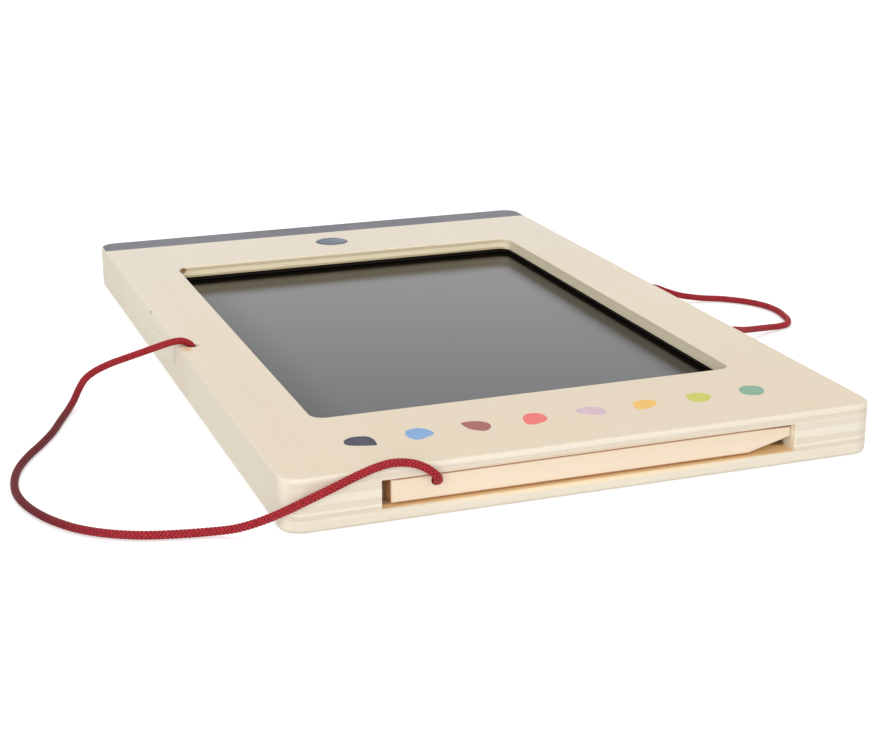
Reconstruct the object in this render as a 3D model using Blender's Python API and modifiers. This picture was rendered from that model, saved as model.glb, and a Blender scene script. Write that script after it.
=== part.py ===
"""Wooden writing tablet with a pressure-sensitive LCD film, a tethered stylus and an erase button.

Units are metres, +Z is up and the origin is the middle of the board's underside. The front edge, which
holds the stylus slot, faces -Y. Run it with: blender --background --python part.py
"""

import math

import bmesh
import bpy
from mathutils import Matrix, Vector

MM = 0.001

# Writing window and the plywood borders round it
WINDOW_WIDTH = 130.2 * MM
WINDOW_LENGTH = 178.1 * MM
WINDOW_CORNER = 4.3 * MM
LEFT_BORDER = 20.4 * MM
RIGHT_BORDER = 22.0 * MM
FRONT_BORDER = 43.0 * MM
FAR_WALL = 13.6 * MM
BOARD_CORNER = 6.0 * MM
BOARD_EDGE = 1.3 * MM
BACK_THICKNESS = 4.0 * MM
FRONT_THICKNESS = 3.2 * MM

# Clearances that several pieces share
GLUE_LINE = 0.1 * MM
SEAT_GAP = 0.2 * MM
HOLE_CLEARANCE = 0.2 * MM

# Screen module under the window
MODULE_MARGIN = 6.0 * MM
MODULE_CLEARANCE = 0.4 * MM
MODULE_CORNER = 3.0 * MM
POCKET_LIP = 0.7 * MM
BEZEL_THICKNESS = 1.2 * MM
BEZEL_SETBACK = 0.4 * MM
FILM_THICKNESS = 0.6 * MM
PLATE_THICKNESS = 2.0 * MM
FOAM_PAD_WIDTH = 12.0 * MM
FOAM_PAD_LENGTH = 30.0 * MM
FOAM_PAD_INSET = 8.0 * MM

# Erase button and the switch under it
BUTTON_OFFSET_X = -1.0 * MM
BUTTON_FROM_WINDOW = 19.6 * MM
BUTTON_DIAMETER = 11.2 * MM
BUTTON_RISE = 0.25 * MM
BUTTON_CROWN = 0.15 * MM
BUTTON_EDGE = 0.5 * MM
BUTTON_CLEARANCE = 0.5 * MM
BUTTON_TRAVEL = 0.4 * MM
FLANGE_LIP = 1.4 * MM
FLANGE_THICKNESS = 1.5 * MM
SWITCH_WIDTH = 6.0 * MM
SWITCH_HEIGHT = 1.8 * MM
PLUNGER_DIAMETER = 3.4 * MM
PLUNGER_RISE = 0.5 * MM
PLUNGER_DEPTH = 0.9 * MM
PLUNGER_CLEARANCE = 0.25 * MM

# Circuit board in the bay behind the window
BAY_BRIDGE = 2.3 * MM
BAY_CLEARANCE = 0.5 * MM
BAY_CORNER = 3.0 * MM
PCB_THICKNESS = 1.0 * MM
PCB_MARGIN = 0.2 * MM
PCB_LEFT_OF_BUTTON = 18.0 * MM
SPACER_WALL = 1.1 * MM
BOARD_SCREW_DIAMETER = 1.8 * MM
BOARD_SCREW_HEAD = 3.6 * MM
BOARD_SCREW_HEAD_HEIGHT = 1.1 * MM
BOARD_SCREW_BITE = 2.5 * MM
BOARD_SCREW_INSET = 3.0 * MM
MIDDLE_SCREW_FROM_BUTTON = 7.3 * MM
CHIP_WIDTH = 6.0 * MM
CHIP_LENGTH = 5.0 * MM
CHIP_HEIGHT = 1.4 * MM
CHIP_FROM_BUTTON = 9.2 * MM
FLEX_FROM_BUTTON = 13.8 * MM
FLEX_WIDTH = 10.0 * MM
FLEX_THICKNESS = 0.25 * MM
FLEX_PLUG_DEPTH = 1.0 * MM
CONNECTOR_WALL = 1.0 * MM
CONNECTOR_LENGTH = 4.0 * MM
CONNECTOR_HEIGHT = 1.8 * MM
CONNECTOR_INSET = 0.7 * MM

# Coin cell, its holder and the screwed door on the underside
CELL_DIAMETER = 20.0 * MM
CELL_THICKNESS = 3.2 * MM
CELL_EDGE = 0.5 * MM
CELL_FROM_BUTTON = 26.0 * MM
CELL_CLEARANCE = 0.4 * MM
HOLDER_WALL = 1.4 * MM
HATCH_CLEARANCE = 0.8 * MM
CONTACT_THICKNESS = 0.3 * MM
NEGATIVE_CONTACT_DIAMETER = 8.0 * MM
POSITIVE_CONTACT_WIDTH = 5.0 * MM
POSITIVE_CONTACT_FOOT = 1.5 * MM
DOOR_RECESS = 0.3 * MM
DOOR_THICKNESS = 2.0 * MM
DOOR_CLEARANCE = 0.3 * MM
DOOR_LEDGE = 3.0 * MM
DOOR_CORNER = 4.0 * MM
DOOR_SCREW_FROM_HATCH = 6.7 * MM
DOOR_LUG = 5.0 * MM
DOOR_SCREW_DIAMETER = 2.0 * MM
DOOR_SCREW_HEAD = 4.2 * MM
DOOR_SCREW_HEAD_HEIGHT = 0.85 * MM
DOOR_SCREW_INSET = 0.15 * MM
DOOR_SCREW_BITE = 3.4 * MM
INSERT_WALL = 0.8 * MM
INSERT_LENGTH = 4.0 * MM

# Stylus in the slot of the front edge
STYLUS_LENGTH = 117.6 * MM
STYLUS_TAPER = 13.4 * MM
STYLUS_TIP_HEIGHT = 3.3 * MM
STYLUS_TIP_DEPTH = 5.8 * MM
STYLUS_TIP_RISE = 1.2 * MM
STYLUS_TIP_BLUNT = 0.4 * MM
STYLUS_EDGE = 0.6 * MM
STYLUS_FROM_LEFT_SIDE = 28.9 * MM
STYLUS_RECESS = 1.2 * MM
SLOT_HEADROOM = 0.25 * MM
SLOT_BACK_CLEARANCE = 0.5 * MM
SLOT_FINGER_GAP = 2.9 * MM
SLOT_TIP_CLEARANCE = 0.3 * MM
SLOT_CORNER = 1.0 * MM
STYLUS_HOLE_FROM_END = 12.4 * MM
STYLUS_HOLE_RISE = 1.6 * MM
STYLUS_HOLE_DEPTH = 4.5 * MM

# Braided cords, their holes and the knots that hold them
CORD_DIAMETER = 2.3 * MM
CORD_CLEARANCE = 0.3 * MM
CORD_POINT_SPACING = 6.9 * MM
CORD_POINT_TURN = math.radians(20)
TETHER_SPLIT_FROM_STYLUS = 84.0 * MM
TETHER_HOLE_DIAMETER = 4.0 * MM
TETHER_HOLE_CHAMFER = 1.0 * MM
TETHER_HOLE_FROM_SIDE = 4.5 * MM
TETHER_HOLE_Y = -10.0 * MM
TETHER_LEAN = 0.7 * MM
LOOP_HOLE_FAR_Y = 26.6 * MM
LOOP_HOLE_NEAR_Y = -33.0 * MM
LOOP_KNOT_FROM_SIDE = 8.0 * MM
KNOT_DIAMETER = 5.6 * MM
KNOT_HEIGHT = 5.2 * MM
KNOT_CLEARANCE = 0.4 * MM

# Free stretch of the tether, in millimetres: over the left edge, along the table, up to the front edge
TETHER_ROUTE = (
    (-81.2, -10.0, 12.9),
    (-81.7, -10.0, 14.2),
    (-82.7, -10.0, 15.5),
    (-84.2, -10.0, 16.3),
    (-86.0, -10.0, 16.65),
    (-88.8, -10.0, 16.35),
    (-92.5, -10.0, 15.5),
    (-97.6, -10.0, 14.2),
    (-102.6, -10.0, 12.95),
    (-107.7, -10.0, 11.6),
    (-112.4, -10.1, 9.8),
    (-115.8, -10.9, 7.8),
    (-118.2, -12.8, 5.3),
    (-120.2, -15.8, 3.2),
    (-122.6, -20.0, 1.8),
    (-126.0, -27.6, 1.3),
    (-129.8, -37.3, 1.3),
    (-134.4, -46.6, 1.3),
    (-139.2, -55.2, 1.3),
    (-143.0, -63.9, 1.3),
    (-145.3, -72.8, 1.3),
    (-146.1, -81.9, 1.3),
    (-145.2, -90.4, 1.3),
    (-142.8, -98.8, 1.3),
    (-139.2, -106.4, 1.3),
    (-134.4, -113.2, 1.3),
    (-127.8, -118.9, 1.3),
    (-120.0, -123.0, 1.3),
    (-111.4, -125.4, 1.3),
    (-103.2, -127.3, 1.5),
    (-97.6, -129.9, 2.5),
    (-91.9, -132.1, 4.4),
    (-86.1, -134.3, 7.1),
    (-80.3, -135.8, 9.9),
    (-74.0, -136.1, 12.3),
    (-67.7, -136.1, 14.65),
    (-62.4, -136.1, 16.3),
    (-57.5, -136.2, 17.0),
    (-52.7, -136.5, 16.3),
    (-49.2, -136.9, 14.7),
    (-46.5, -136.9, 12.4),
    (-45.2, -135.2, 10.4),
)
# Free stretch of the carrying loop, in millimetres, from its far hole to its near one
LOOP_ROUTE = (
    (92.6, 26.6, 7.7),
    (98.4, 26.6, 6.9),
    (103.0, 26.6, 5.0),
    (109.0, 26.2, 2.9),
    (116.6, 24.6, 1.6),
    (124.0, 21.4, 1.3),
    (130.0, 15.4, 1.3),
    (133.6, 8.6, 1.3),
    (134.6, 1.2, 1.3),
    (133.6, -5.4, 1.3),
    (131.9, -11.4, 1.3),
    (129.0, -15.8, 1.3),
    (124.6, -17.6, 1.4),
    (119.2, -19.4, 2.0),
    (112.6, -22.6, 3.1),
    (106.0, -26.2, 4.4),
    (100.0, -29.8, 6.1),
    (93.0, -32.4, 7.5),
)

# Fineness of the round stretches
CORNER_STEPS = 6
EDGE_STEPS = 3
ROUND_SIDES = 32
SMALL_SIDES = 16
ROUTE_STEPS = 24
OVERCUT = 1.0 * MM
TINY = 1e-7

# Heights, upwards from the door through the cell and the switch to the front panel
BACK_TOP = BACK_THICKNESS
CORE_BOTTOM = BACK_TOP + GLUE_LINE
DOOR_TOP = DOOR_RECESS + DOOR_THICKNESS
CELL_BOTTOM = DOOR_TOP + SEAT_GAP
CELL_TOP = CELL_BOTTOM + CELL_THICKNESS
CONTACT_BOTTOM = CELL_TOP + SEAT_GAP
PCB_BOTTOM = CONTACT_BOTTOM + CONTACT_THICKNESS + SEAT_GAP
PCB_TOP = PCB_BOTTOM + PCB_THICKNESS
SWITCH_BOTTOM = PCB_TOP + SEAT_GAP
SWITCH_TOP = SWITCH_BOTTOM + SWITCH_HEIGHT
PLUNGER_TOP = SWITCH_TOP + PLUNGER_RISE
FLANGE_BOTTOM = PLUNGER_TOP + SEAT_GAP
FLANGE_TOP = FLANGE_BOTTOM + FLANGE_THICKNESS
FRONT_BOTTOM = FLANGE_TOP + SEAT_GAP
CORE_TOP = FRONT_BOTTOM - GLUE_LINE
FRONT_TOP = FRONT_BOTTOM + FRONT_THICKNESS
CORE_MIDDLE = (CORE_BOTTOM + CORE_TOP) / 2

# Heights of the screen module, downwards from the core's lip to the back panel
LIP_BOTTOM = CORE_TOP - POCKET_LIP
BEZEL_TOP = LIP_BOTTOM - SEAT_GAP
FILM_TOP = BEZEL_TOP - BEZEL_THICKNESS - SEAT_GAP
PLATE_TOP = FILM_TOP - FILM_THICKNESS - SEAT_GAP
FOAM_TOP = PLATE_TOP - PLATE_THICKNESS - SEAT_GAP
FOAM_BOTTOM = BACK_TOP + SEAT_GAP

# Plan of the board, outwards from the window
HOLDER_BORE = CELL_DIAMETER / 2 + CELL_CLEARANCE
HOLDER_RADIUS = HOLDER_BORE + HOLDER_WALL
PCB_WIDTH = 2 * (HOLDER_RADIUS + PCB_MARGIN)
BAY_WIDTH = PCB_WIDTH + 2 * BAY_CLEARANCE
FAR_BORDER = MODULE_MARGIN + MODULE_CLEARANCE + BAY_BRIDGE + BAY_WIDTH + FAR_WALL
BOARD_WIDTH = LEFT_BORDER + WINDOW_WIDTH + RIGHT_BORDER
BOARD_LENGTH = FRONT_BORDER + WINDOW_LENGTH + FAR_BORDER
SIDE_X = BOARD_WIDTH / 2
FRONT_Y = -BOARD_LENGTH / 2
WINDOW_LOW = Vector((LEFT_BORDER - SIDE_X, FRONT_Y + FRONT_BORDER))
WINDOW_HIGH = WINDOW_LOW + Vector((WINDOW_WIDTH, WINDOW_LENGTH))
MODULE_LOW = WINDOW_LOW - Vector((MODULE_MARGIN, MODULE_MARGIN))
MODULE_HIGH = WINDOW_HIGH + Vector((MODULE_MARGIN, MODULE_MARGIN))
POCKET_LOW = MODULE_LOW - Vector((MODULE_CLEARANCE, MODULE_CLEARANCE))
POCKET_HIGH = MODULE_HIGH + Vector((MODULE_CLEARANCE, MODULE_CLEARANCE))

# Plan of the electronics bay
BUTTON_X = BUTTON_OFFSET_X
BUTTON_Y = WINDOW_HIGH.y + BUTTON_FROM_WINDOW
CELL_X = BUTTON_X + CELL_FROM_BUTTON
BAY_NEAR_Y = POCKET_HIGH.y + BAY_BRIDGE
BAY_MIDDLE_Y = BAY_NEAR_Y + BAY_WIDTH / 2
PCB_NEAR_Y = BAY_NEAR_Y + BAY_CLEARANCE
PCB_FAR_Y = PCB_NEAR_Y + PCB_WIDTH
PCB_LEFT_X = BUTTON_X - PCB_LEFT_OF_BUTTON
PCB_RIGHT_X = CELL_X + HOLDER_RADIUS + PCB_MARGIN
FLEX_X = BUTTON_X + FLEX_FROM_BUTTON
CONNECTOR_NEAR_Y = PCB_NEAR_Y + CONNECTOR_INSET
CONNECTOR_BOTTOM = PCB_TOP + SEAT_GAP
CONNECTOR_MIDDLE = CONNECTOR_BOTTOM + CONNECTOR_HEIGHT / 2
BOARD_SCREW_PLACES = (
    ("near_left", PCB_LEFT_X + BOARD_SCREW_INSET, PCB_NEAR_Y + BOARD_SCREW_INSET),
    ("far_left", PCB_LEFT_X + BOARD_SCREW_INSET, PCB_FAR_Y - BOARD_SCREW_INSET),
    ("middle", BUTTON_X + MIDDLE_SCREW_FROM_BUTTON, PCB_FAR_Y - BOARD_SCREW_INSET),
)
BOARD_SCREW_HOLE = BOARD_SCREW_DIAMETER / 2 + HOLE_CLEARANCE

# Plan of the battery door
HATCH_RADIUS = CELL_DIAMETER / 2 + HATCH_CLEARANCE
DOOR_HALF_WIDTH = HATCH_RADIUS + DOOR_LEDGE
DOOR_SCREW_X = CELL_X + HATCH_RADIUS + DOOR_SCREW_FROM_HATCH
DOOR_LEFT_X = CELL_X - DOOR_HALF_WIDTH
DOOR_RIGHT_X = DOOR_SCREW_X + DOOR_LUG
DOOR_SCREW_BOTTOM = DOOR_RECESS + DOOR_SCREW_INSET
DOOR_SCREW_SEAT = DOOR_SCREW_BOTTOM + DOOR_SCREW_HEAD_HEIGHT
DOOR_SCREW_HOLE = DOOR_SCREW_DIAMETER / 2 + HOLE_CLEARANCE
INSERT_BOTTOM = DOOR_TOP + SEAT_GAP
INSERT_RADIUS = DOOR_SCREW_HOLE + INSERT_WALL

# Stylus and slot
STYLUS_BOTTOM = BACK_TOP + SEAT_GAP
STYLUS_SECTION = FRONT_BOTTOM - SLOT_HEADROOM - STYLUS_BOTTOM
STYLUS_LEFT_X = STYLUS_FROM_LEFT_SIDE - SIDE_X
STYLUS_FRONT_Y = FRONT_Y + STYLUS_RECESS
STYLUS_MIDDLE = Vector(
    (
        STYLUS_LEFT_X + STYLUS_LENGTH / 2,
        STYLUS_FRONT_Y + STYLUS_SECTION / 2,
        STYLUS_BOTTOM + STYLUS_SECTION / 2,
    )
)
STYLUS_HOLE_X = STYLUS_LEFT_X + STYLUS_HOLE_FROM_END
STYLUS_HOLE_Z = STYLUS_MIDDLE.z + STYLUS_HOLE_RISE
SLOT_BACK_Y = STYLUS_FRONT_Y + STYLUS_SECTION + SLOT_BACK_CLEARANCE

# Cord holes and knots
CORD_HOLE_RADIUS = CORD_DIAMETER / 2 + CORD_CLEARANCE
KNOT_POCKET_RADIUS = KNOT_DIAMETER / 2 + KNOT_CLEARANCE
TETHER_HOLE_X = TETHER_HOLE_FROM_SIDE - SIDE_X
LOOP_KNOT_X = SIDE_X - LOOP_KNOT_FROM_SIDE
LOOP_CORD_START_X = LOOP_KNOT_X + KNOT_DIAMETER / 2 + CORD_CLEARANCE
TETHER_CORD_START = Vector(
    (TETHER_HOLE_X + TETHER_LEAN, TETHER_HOLE_Y, CORE_MIDDLE + KNOT_HEIGHT / 2 + CORD_CLEARANCE)
)

# Colours (linear), roughness and metallic of each finish
PLYWOOD = ((0.78, 0.68, 0.53), 0.55, 0.0)
STYLUS_WOOD = ((0.86, 0.70, 0.50), 0.5, 0.0)
BLACK_FOAM = ((0.01, 0.01, 0.01), 0.9, 0.0)
SCREEN = ((0.02, 0.022, 0.022), 0.15, 0.0)
BLACK_PLASTIC = ((0.02, 0.02, 0.022), 0.45, 0.0)
GREY_PLASTIC = ((0.09, 0.10, 0.13), 0.4, 0.0)
SOLDER_MASK = ((0.01, 0.12, 0.04), 0.35, 0.0)
AMBER_FILM = ((0.45, 0.20, 0.03), 0.35, 0.0)
STEEL = ((0.55, 0.55, 0.56), 0.3, 1.0)
BRASS = ((0.75, 0.55, 0.25), 0.3, 1.0)
RED_CORD = ((0.36, 0.02, 0.04), 0.8, 0.0)


def clear_scene():
    """Removes the startup objects."""
    for obj in list(bpy.data.objects):
        bpy.data.objects.remove(obj, do_unlink=True)


def new_collection(name):
    """A collection in the scene."""
    collection = bpy.data.collections.new(name)
    bpy.context.scene.collection.children.link(collection)
    return collection


def finish_material(name, finish):
    """A Principled material with the finish's colour, roughness and metallic value."""
    colour, roughness, metallic = finish
    material = bpy.data.materials.new(name)
    material.use_nodes = True
    shader = material.node_tree.nodes["Principled BSDF"]
    shader.inputs["Base Color"].default_value = (*colour, 1.0)
    shader.inputs["Roughness"].default_value = roughness
    shader.inputs["Metallic"].default_value = metallic
    return material


def mesh_from(bm, name):
    """Turns a bmesh into mesh data, with round stretches shaded smooth."""
    mesh = bpy.data.meshes.new(name)
    bm.normal_update()
    bm.to_mesh(mesh)
    bm.free()
    mesh.shade_smooth()
    mesh.set_sharp_from_angle(angle=math.radians(35))
    return mesh


def round_edges(bm, edges, radius, steps):
    """Rounds the edges of a bmesh."""
    bmesh.ops.bevel(
        bm,
        geom=edges,
        offset=radius,
        offset_type="OFFSET",
        segments=steps,
        profile=0.5,
        affect="EDGES",
    )


def slab_mesh(name, size, corner=0.0, top_edge=0.0, bottom_edge=0.0):
    """A plate about its own middle, with rounded upright corners and rounded top or bottom rims."""
    bm = bmesh.new()
    bmesh.ops.create_cube(bm, size=1.0, matrix=Matrix.Diagonal((*size, 1.0)))
    if corner > 0:
        upright = [e for e in bm.edges if abs(e.verts[0].co.z - e.verts[1].co.z) > TINY]
        round_edges(bm, upright, corner, CORNER_STEPS)
    for side, radius in ((1, top_edge), (-1, bottom_edge)):
        if radius > 0:
            level = size[2] / 2 - TINY
            rim = [e for e in bm.edges if all(v.co.z * side > level for v in e.verts)]
            round_edges(bm, rim, radius, EDGE_STEPS)
    return mesh_from(bm, name)


def rod_mesh(name, radius, length, axis="Z", end_radius=None, sides=ROUND_SIDES):
    """A cylinder, or a cone that ends in end_radius, about its own middle and along one axis."""
    turn = {"X": ("Y", 90), "Y": ("X", -90), "Z": ("Z", 0)}[axis]
    bm = bmesh.new()
    bmesh.ops.create_cone(
        bm,
        cap_ends=True,
        segments=sides,
        radius1=radius,
        radius2=radius if end_radius is None else end_radius,
        depth=length,
        matrix=Matrix.Rotation(math.radians(turn[1]), 4, turn[0]),
    )
    return mesh_from(bm, name)


def strip_mesh(name, path, width):
    """An open ribbon: a path of (y, z) places drawn out along X by the ribbon's width."""
    bm = bmesh.new()
    verts = [bm.verts.new((-width / 2, y, z)) for y, z in path]
    edges = [bm.edges.new(pair) for pair in zip(verts, verts[1:])]
    drawn = bmesh.ops.extrude_edge_only(bm, edges=edges)["geom"]
    moved = [item for item in drawn if isinstance(item, bmesh.types.BMVert)]
    bmesh.ops.translate(bm, verts=moved, vec=(width, 0, 0))
    return mesh_from(bm, name)


def smooth_route(points):
    """A fine polyline on the Catmull-Rom curve through the points."""
    points = [Vector(p) for p in points]
    padded = [2 * points[0] - points[1], *points, 2 * points[-1] - points[-2]]
    line = [points[0]]
    for before, start, end, after in zip(padded, padded[1:], padded[2:], padded[3:]):
        for step in range(1, ROUTE_STEPS + 1):
            t = step / ROUTE_STEPS
            line.append(
                0.5
                * (
                    2 * start
                    + (end - before) * t
                    + (2 * before - 5 * start + 4 * end - after) * t**2
                    + (3 * start - before - 3 * end + after) * t**3
                )
            )
    return line


def route_length(line):
    """The length of a polyline."""
    return sum((b - a).length for a, b in zip(line, line[1:]))


def stretch(line, start, end):
    """The part of a polyline from one distance along it to another."""
    points = []
    passed = 0.0
    for a, b in zip(line, line[1:]):
        length = (b - a).length
        if passed <= start < passed + length:
            points.append(a.lerp(b, (start - passed) / length))
        passed += length
        if start < passed < end:
            points.append(b)
        elif passed >= end:
            points.append(b.lerp(a, (passed - end) / length))
            break
    return points


def thin_out(line):
    """Fewer points of a fine polyline: one after each point spacing, and sooner where it turns."""
    points = [line[0]]
    heading = line[1] - line[0]
    for a, b in zip(line[1:], line[2:]):
        far = (a - points[-1]).length > CORD_POINT_SPACING
        if far or heading.angle(b - a) > CORD_POINT_TURN:
            points.append(a)
            heading = b - a
    if (line[-1] - points[-1]).length < CORD_DIAMETER / 2:
        points.pop()
    return [*points, line[-1]]


class Bench:
    """Holds the two collections and places pieces and cutters in them."""

    def __init__(self):
        self.parts = new_collection("lcd_writing_tablet")
        self.cutters = new_collection("cutters")
        self.board = self.add_empty("board_frame", Vector((0, 0, 0)))

    def add_empty(self, name, location, parent=None):
        """An empty that carries pieces."""
        empty = bpy.data.objects.new(name, None)
        empty.empty_display_size = BOARD_CORNER
        empty.location = location
        empty.parent = parent
        self.parts.objects.link(empty)
        return empty

    def add(self, name, data, finish, location, parent=None):
        """A piece with its own material, placed in its parent's frame."""
        obj = bpy.data.objects.new(name, data)
        obj.parent = parent or self.board
        obj.location = Vector(location) - obj.parent.location
        data.materials.clear()
        data.materials.append(finish_material(name, finish))
        self.parts.objects.link(obj)
        return obj

    def add_slab(self, name, low, high, finish, **rounding):
        """A plate between two corners."""
        low, high = Vector(low), Vector(high)
        return self.add(name, slab_mesh(name, high - low, **rounding), finish, (low + high) / 2)

    def add_turned(self, name, profile, finish, location, sides=ROUND_SIDES, parent=None):
        """A turned piece: (radius, height) pairs, top to bottom, spun about Z."""
        mesh = bpy.data.meshes.new(name)
        edges = [(i, i + 1) for i in range(len(profile) - 1)]
        mesh.from_pydata([(r, 0.0, z) for r, z in profile], edges, [])
        obj = self.add(name, mesh, finish, location, parent)
        screw = obj.modifiers.new("turn", "SCREW")
        screw.steps = sides
        screw.render_steps = sides
        screw.use_merge_vertices = True
        screw.merge_threshold = 0.00001
        screw.use_smooth_shade = True
        return obj

    def add_cord(self, name, line, parent=None):
        """A round cord along a fine polyline."""
        points = thin_out(line)
        parent = parent or self.board
        curve = bpy.data.curves.new(name, "CURVE")
        curve.dimensions = "3D"
        curve.bevel_depth = CORD_DIAMETER / 2
        curve.bevel_resolution = 2
        curve.use_fill_caps = True
        spline = curve.splines.new("POLY")
        spline.points.add(len(points) - 1)
        for place, point in zip(spline.points, points):
            place.co = (*(point - parent.location), 1.0)
        return self.add(name, curve, RED_CORD, parent.location, parent)

    def cut(self, target, name, mesh, location):
        """Cuts a cutter's shape out of a piece."""
        cutter = bpy.data.objects.new(name, mesh)
        cutter.location = location
        cutter.hide_render = True
        cutter.display_type = "WIRE"
        self.cutters.objects.link(cutter)
        boolean = target.modifiers.new(name, "BOOLEAN")
        boolean.operation = "DIFFERENCE"
        boolean.solver = "EXACT"
        boolean.object = cutter

    def cut_slab(self, target, name, low, high, corner=0.0):
        """Cuts a rounded box between two corners out of a piece."""
        low, high = Vector(low), Vector(high)
        self.cut(target, name, slab_mesh(name, high - low, corner), (low + high) / 2)

    def cut_rod(self, target, name, radius, start, end, axis="Z", **shape):
        """Cuts a round hole between two points on one axis out of a piece."""
        start, end = Vector(start), Vector(end)
        mesh = rod_mesh(name, radius, (end - start).length, axis, **shape)
        self.cut(target, name, mesh, (start + end) / 2)


def make_front_panel(bench):
    """The plywood face with its window, button hole and tether hole."""
    below, above = FRONT_BOTTOM - OVERCUT, FRONT_TOP + OVERCUT
    panel = bench.add_slab(
        "front_panel",
        (-SIDE_X, FRONT_Y, FRONT_BOTTOM),
        (SIDE_X, -FRONT_Y, FRONT_TOP),
        PLYWOOD,
        corner=BOARD_CORNER,
        top_edge=BOARD_EDGE,
    )
    bench.cut_slab(panel, "window_cut", (*WINDOW_LOW, below), (*WINDOW_HIGH, above), WINDOW_CORNER)
    bench.cut_rod(
        panel,
        "button_cut",
        BUTTON_DIAMETER / 2 + BUTTON_CLEARANCE,
        (BUTTON_X, BUTTON_Y, below),
        (BUTTON_X, BUTTON_Y, above),
    )
    bench.cut_rod(
        panel,
        "tether_cut",
        TETHER_HOLE_DIAMETER / 2,
        (TETHER_HOLE_X, TETHER_HOLE_Y, below),
        (TETHER_HOLE_X, TETHER_HOLE_Y, above),
    )
    bench.cut_rod(
        panel,
        "tether_chamfer_cut",
        TETHER_HOLE_DIAMETER / 2,
        (TETHER_HOLE_X, TETHER_HOLE_Y, FRONT_TOP - TETHER_HOLE_CHAMFER),
        (TETHER_HOLE_X, TETHER_HOLE_Y, FRONT_TOP + TETHER_HOLE_CHAMFER),
        end_radius=TETHER_HOLE_DIAMETER / 2 + 2 * TETHER_HOLE_CHAMFER,
    )


def make_core_frame(bench):
    """The middle layer, with the screen pocket, electronics bay, stylus slot and knot pockets."""
    below, above = CORE_BOTTOM - OVERCUT, CORE_TOP + OVERCUT
    core = bench.add_slab(
        "core_frame",
        (-SIDE_X, FRONT_Y, CORE_BOTTOM),
        (SIDE_X, -FRONT_Y, CORE_TOP),
        PLYWOOD,
        corner=BOARD_CORNER,
    )
    bench.cut_slab(core, "module_cut", (*POCKET_LOW, below), (*POCKET_HIGH, LIP_BOTTOM), MODULE_CORNER)
    bench.cut_slab(core, "lip_cut", (*WINDOW_LOW, CORE_MIDDLE), (*WINDOW_HIGH, above), WINDOW_CORNER)
    bench.cut_slab(
        core,
        "bay_cut",
        (PCB_LEFT_X - BAY_CLEARANCE, BAY_NEAR_Y, below),
        (PCB_RIGHT_X + BAY_CLEARANCE, BAY_NEAR_Y + BAY_WIDTH, above),
        BAY_CORNER,
    )
    channel = FLEX_WIDTH / 2 + BAY_CLEARANCE
    bench.cut_slab(
        core,
        "flex_channel_cut",
        (FLEX_X - channel, POCKET_HIGH.y - OVERCUT, below),
        (FLEX_X + channel, BAY_NEAR_Y + OVERCUT, above),
    )
    bench.cut_slab(
        core,
        "stylus_slot_cut",
        (STYLUS_LEFT_X - SLOT_FINGER_GAP, FRONT_Y - 2 * SLOT_CORNER, below),
        (STYLUS_LEFT_X + STYLUS_LENGTH + SLOT_TIP_CLEARANCE, SLOT_BACK_Y, above),
        SLOT_CORNER,
    )
    bench.cut_rod(
        core,
        "tether_knot_cut",
        KNOT_POCKET_RADIUS,
        (TETHER_HOLE_X, TETHER_HOLE_Y, below),
        (TETHER_HOLE_X, TETHER_HOLE_Y, above),
        sides=SMALL_SIDES,
    )
    for side, y in (("far", LOOP_HOLE_FAR_Y), ("near", LOOP_HOLE_NEAR_Y)):
        bench.cut_rod(
            core,
            f"loop_knot_cut_{side}",
            KNOT_POCKET_RADIUS,
            (LOOP_KNOT_X, y, below),
            (LOOP_KNOT_X, y, above),
            sides=SMALL_SIDES,
        )
        bench.cut_rod(
            core,
            f"loop_hole_cut_{side}",
            CORD_HOLE_RADIUS,
            (LOOP_KNOT_X, y, CORE_MIDDLE),
            (SIDE_X + OVERCUT, y, CORE_MIDDLE),
            axis="X",
            sides=SMALL_SIDES,
        )
    bench.cut_rod(
        core,
        "insert_core_cut",
        INSERT_RADIUS + HOLE_CLEARANCE,
        (DOOR_SCREW_X, BAY_MIDDLE_Y, below),
        (DOOR_SCREW_X, BAY_MIDDLE_Y, INSERT_BOTTOM + INSERT_LENGTH + SEAT_GAP),
        sides=SMALL_SIDES,
    )


def make_back_panel(bench):
    """The plywood back with the battery hatch, its rebate and the blind screw holes."""
    panel = bench.add_slab(
        "back_panel",
        (-SIDE_X, FRONT_Y, 0),
        (SIDE_X, -FRONT_Y, BACK_TOP),
        PLYWOOD,
        corner=BOARD_CORNER,
        bottom_edge=BOARD_EDGE,
    )
    half = DOOR_HALF_WIDTH + DOOR_CLEARANCE
    bench.cut_slab(
        panel,
        "door_rebate_cut",
        (DOOR_LEFT_X - DOOR_CLEARANCE, BAY_MIDDLE_Y - half, -OVERCUT),
        (DOOR_RIGHT_X + DOOR_CLEARANCE, BAY_MIDDLE_Y + half, DOOR_TOP + SEAT_GAP),
        DOOR_CORNER + DOOR_CLEARANCE,
    )
    bench.cut_rod(
        panel,
        "hatch_cut",
        HATCH_RADIUS,
        (CELL_X, BAY_MIDDLE_Y, 0),
        (CELL_X, BAY_MIDDLE_Y, BACK_TOP + OVERCUT),
    )
    bench.cut_rod(
        panel,
        "insert_back_cut",
        INSERT_RADIUS + HOLE_CLEARANCE,
        (DOOR_SCREW_X, BAY_MIDDLE_Y, 0),
        (DOOR_SCREW_X, BAY_MIDDLE_Y, BACK_TOP + OVERCUT),
        sides=SMALL_SIDES,
    )
    for name, x, y in BOARD_SCREW_PLACES:
        bench.cut_rod(
            panel,
            f"board_screw_cut_{name}",
            BOARD_SCREW_HOLE,
            (x, y, BACK_TOP - BOARD_SCREW_BITE - SEAT_GAP),
            (x, y, BACK_TOP + OVERCUT),
            sides=SMALL_SIDES,
        )


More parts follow.
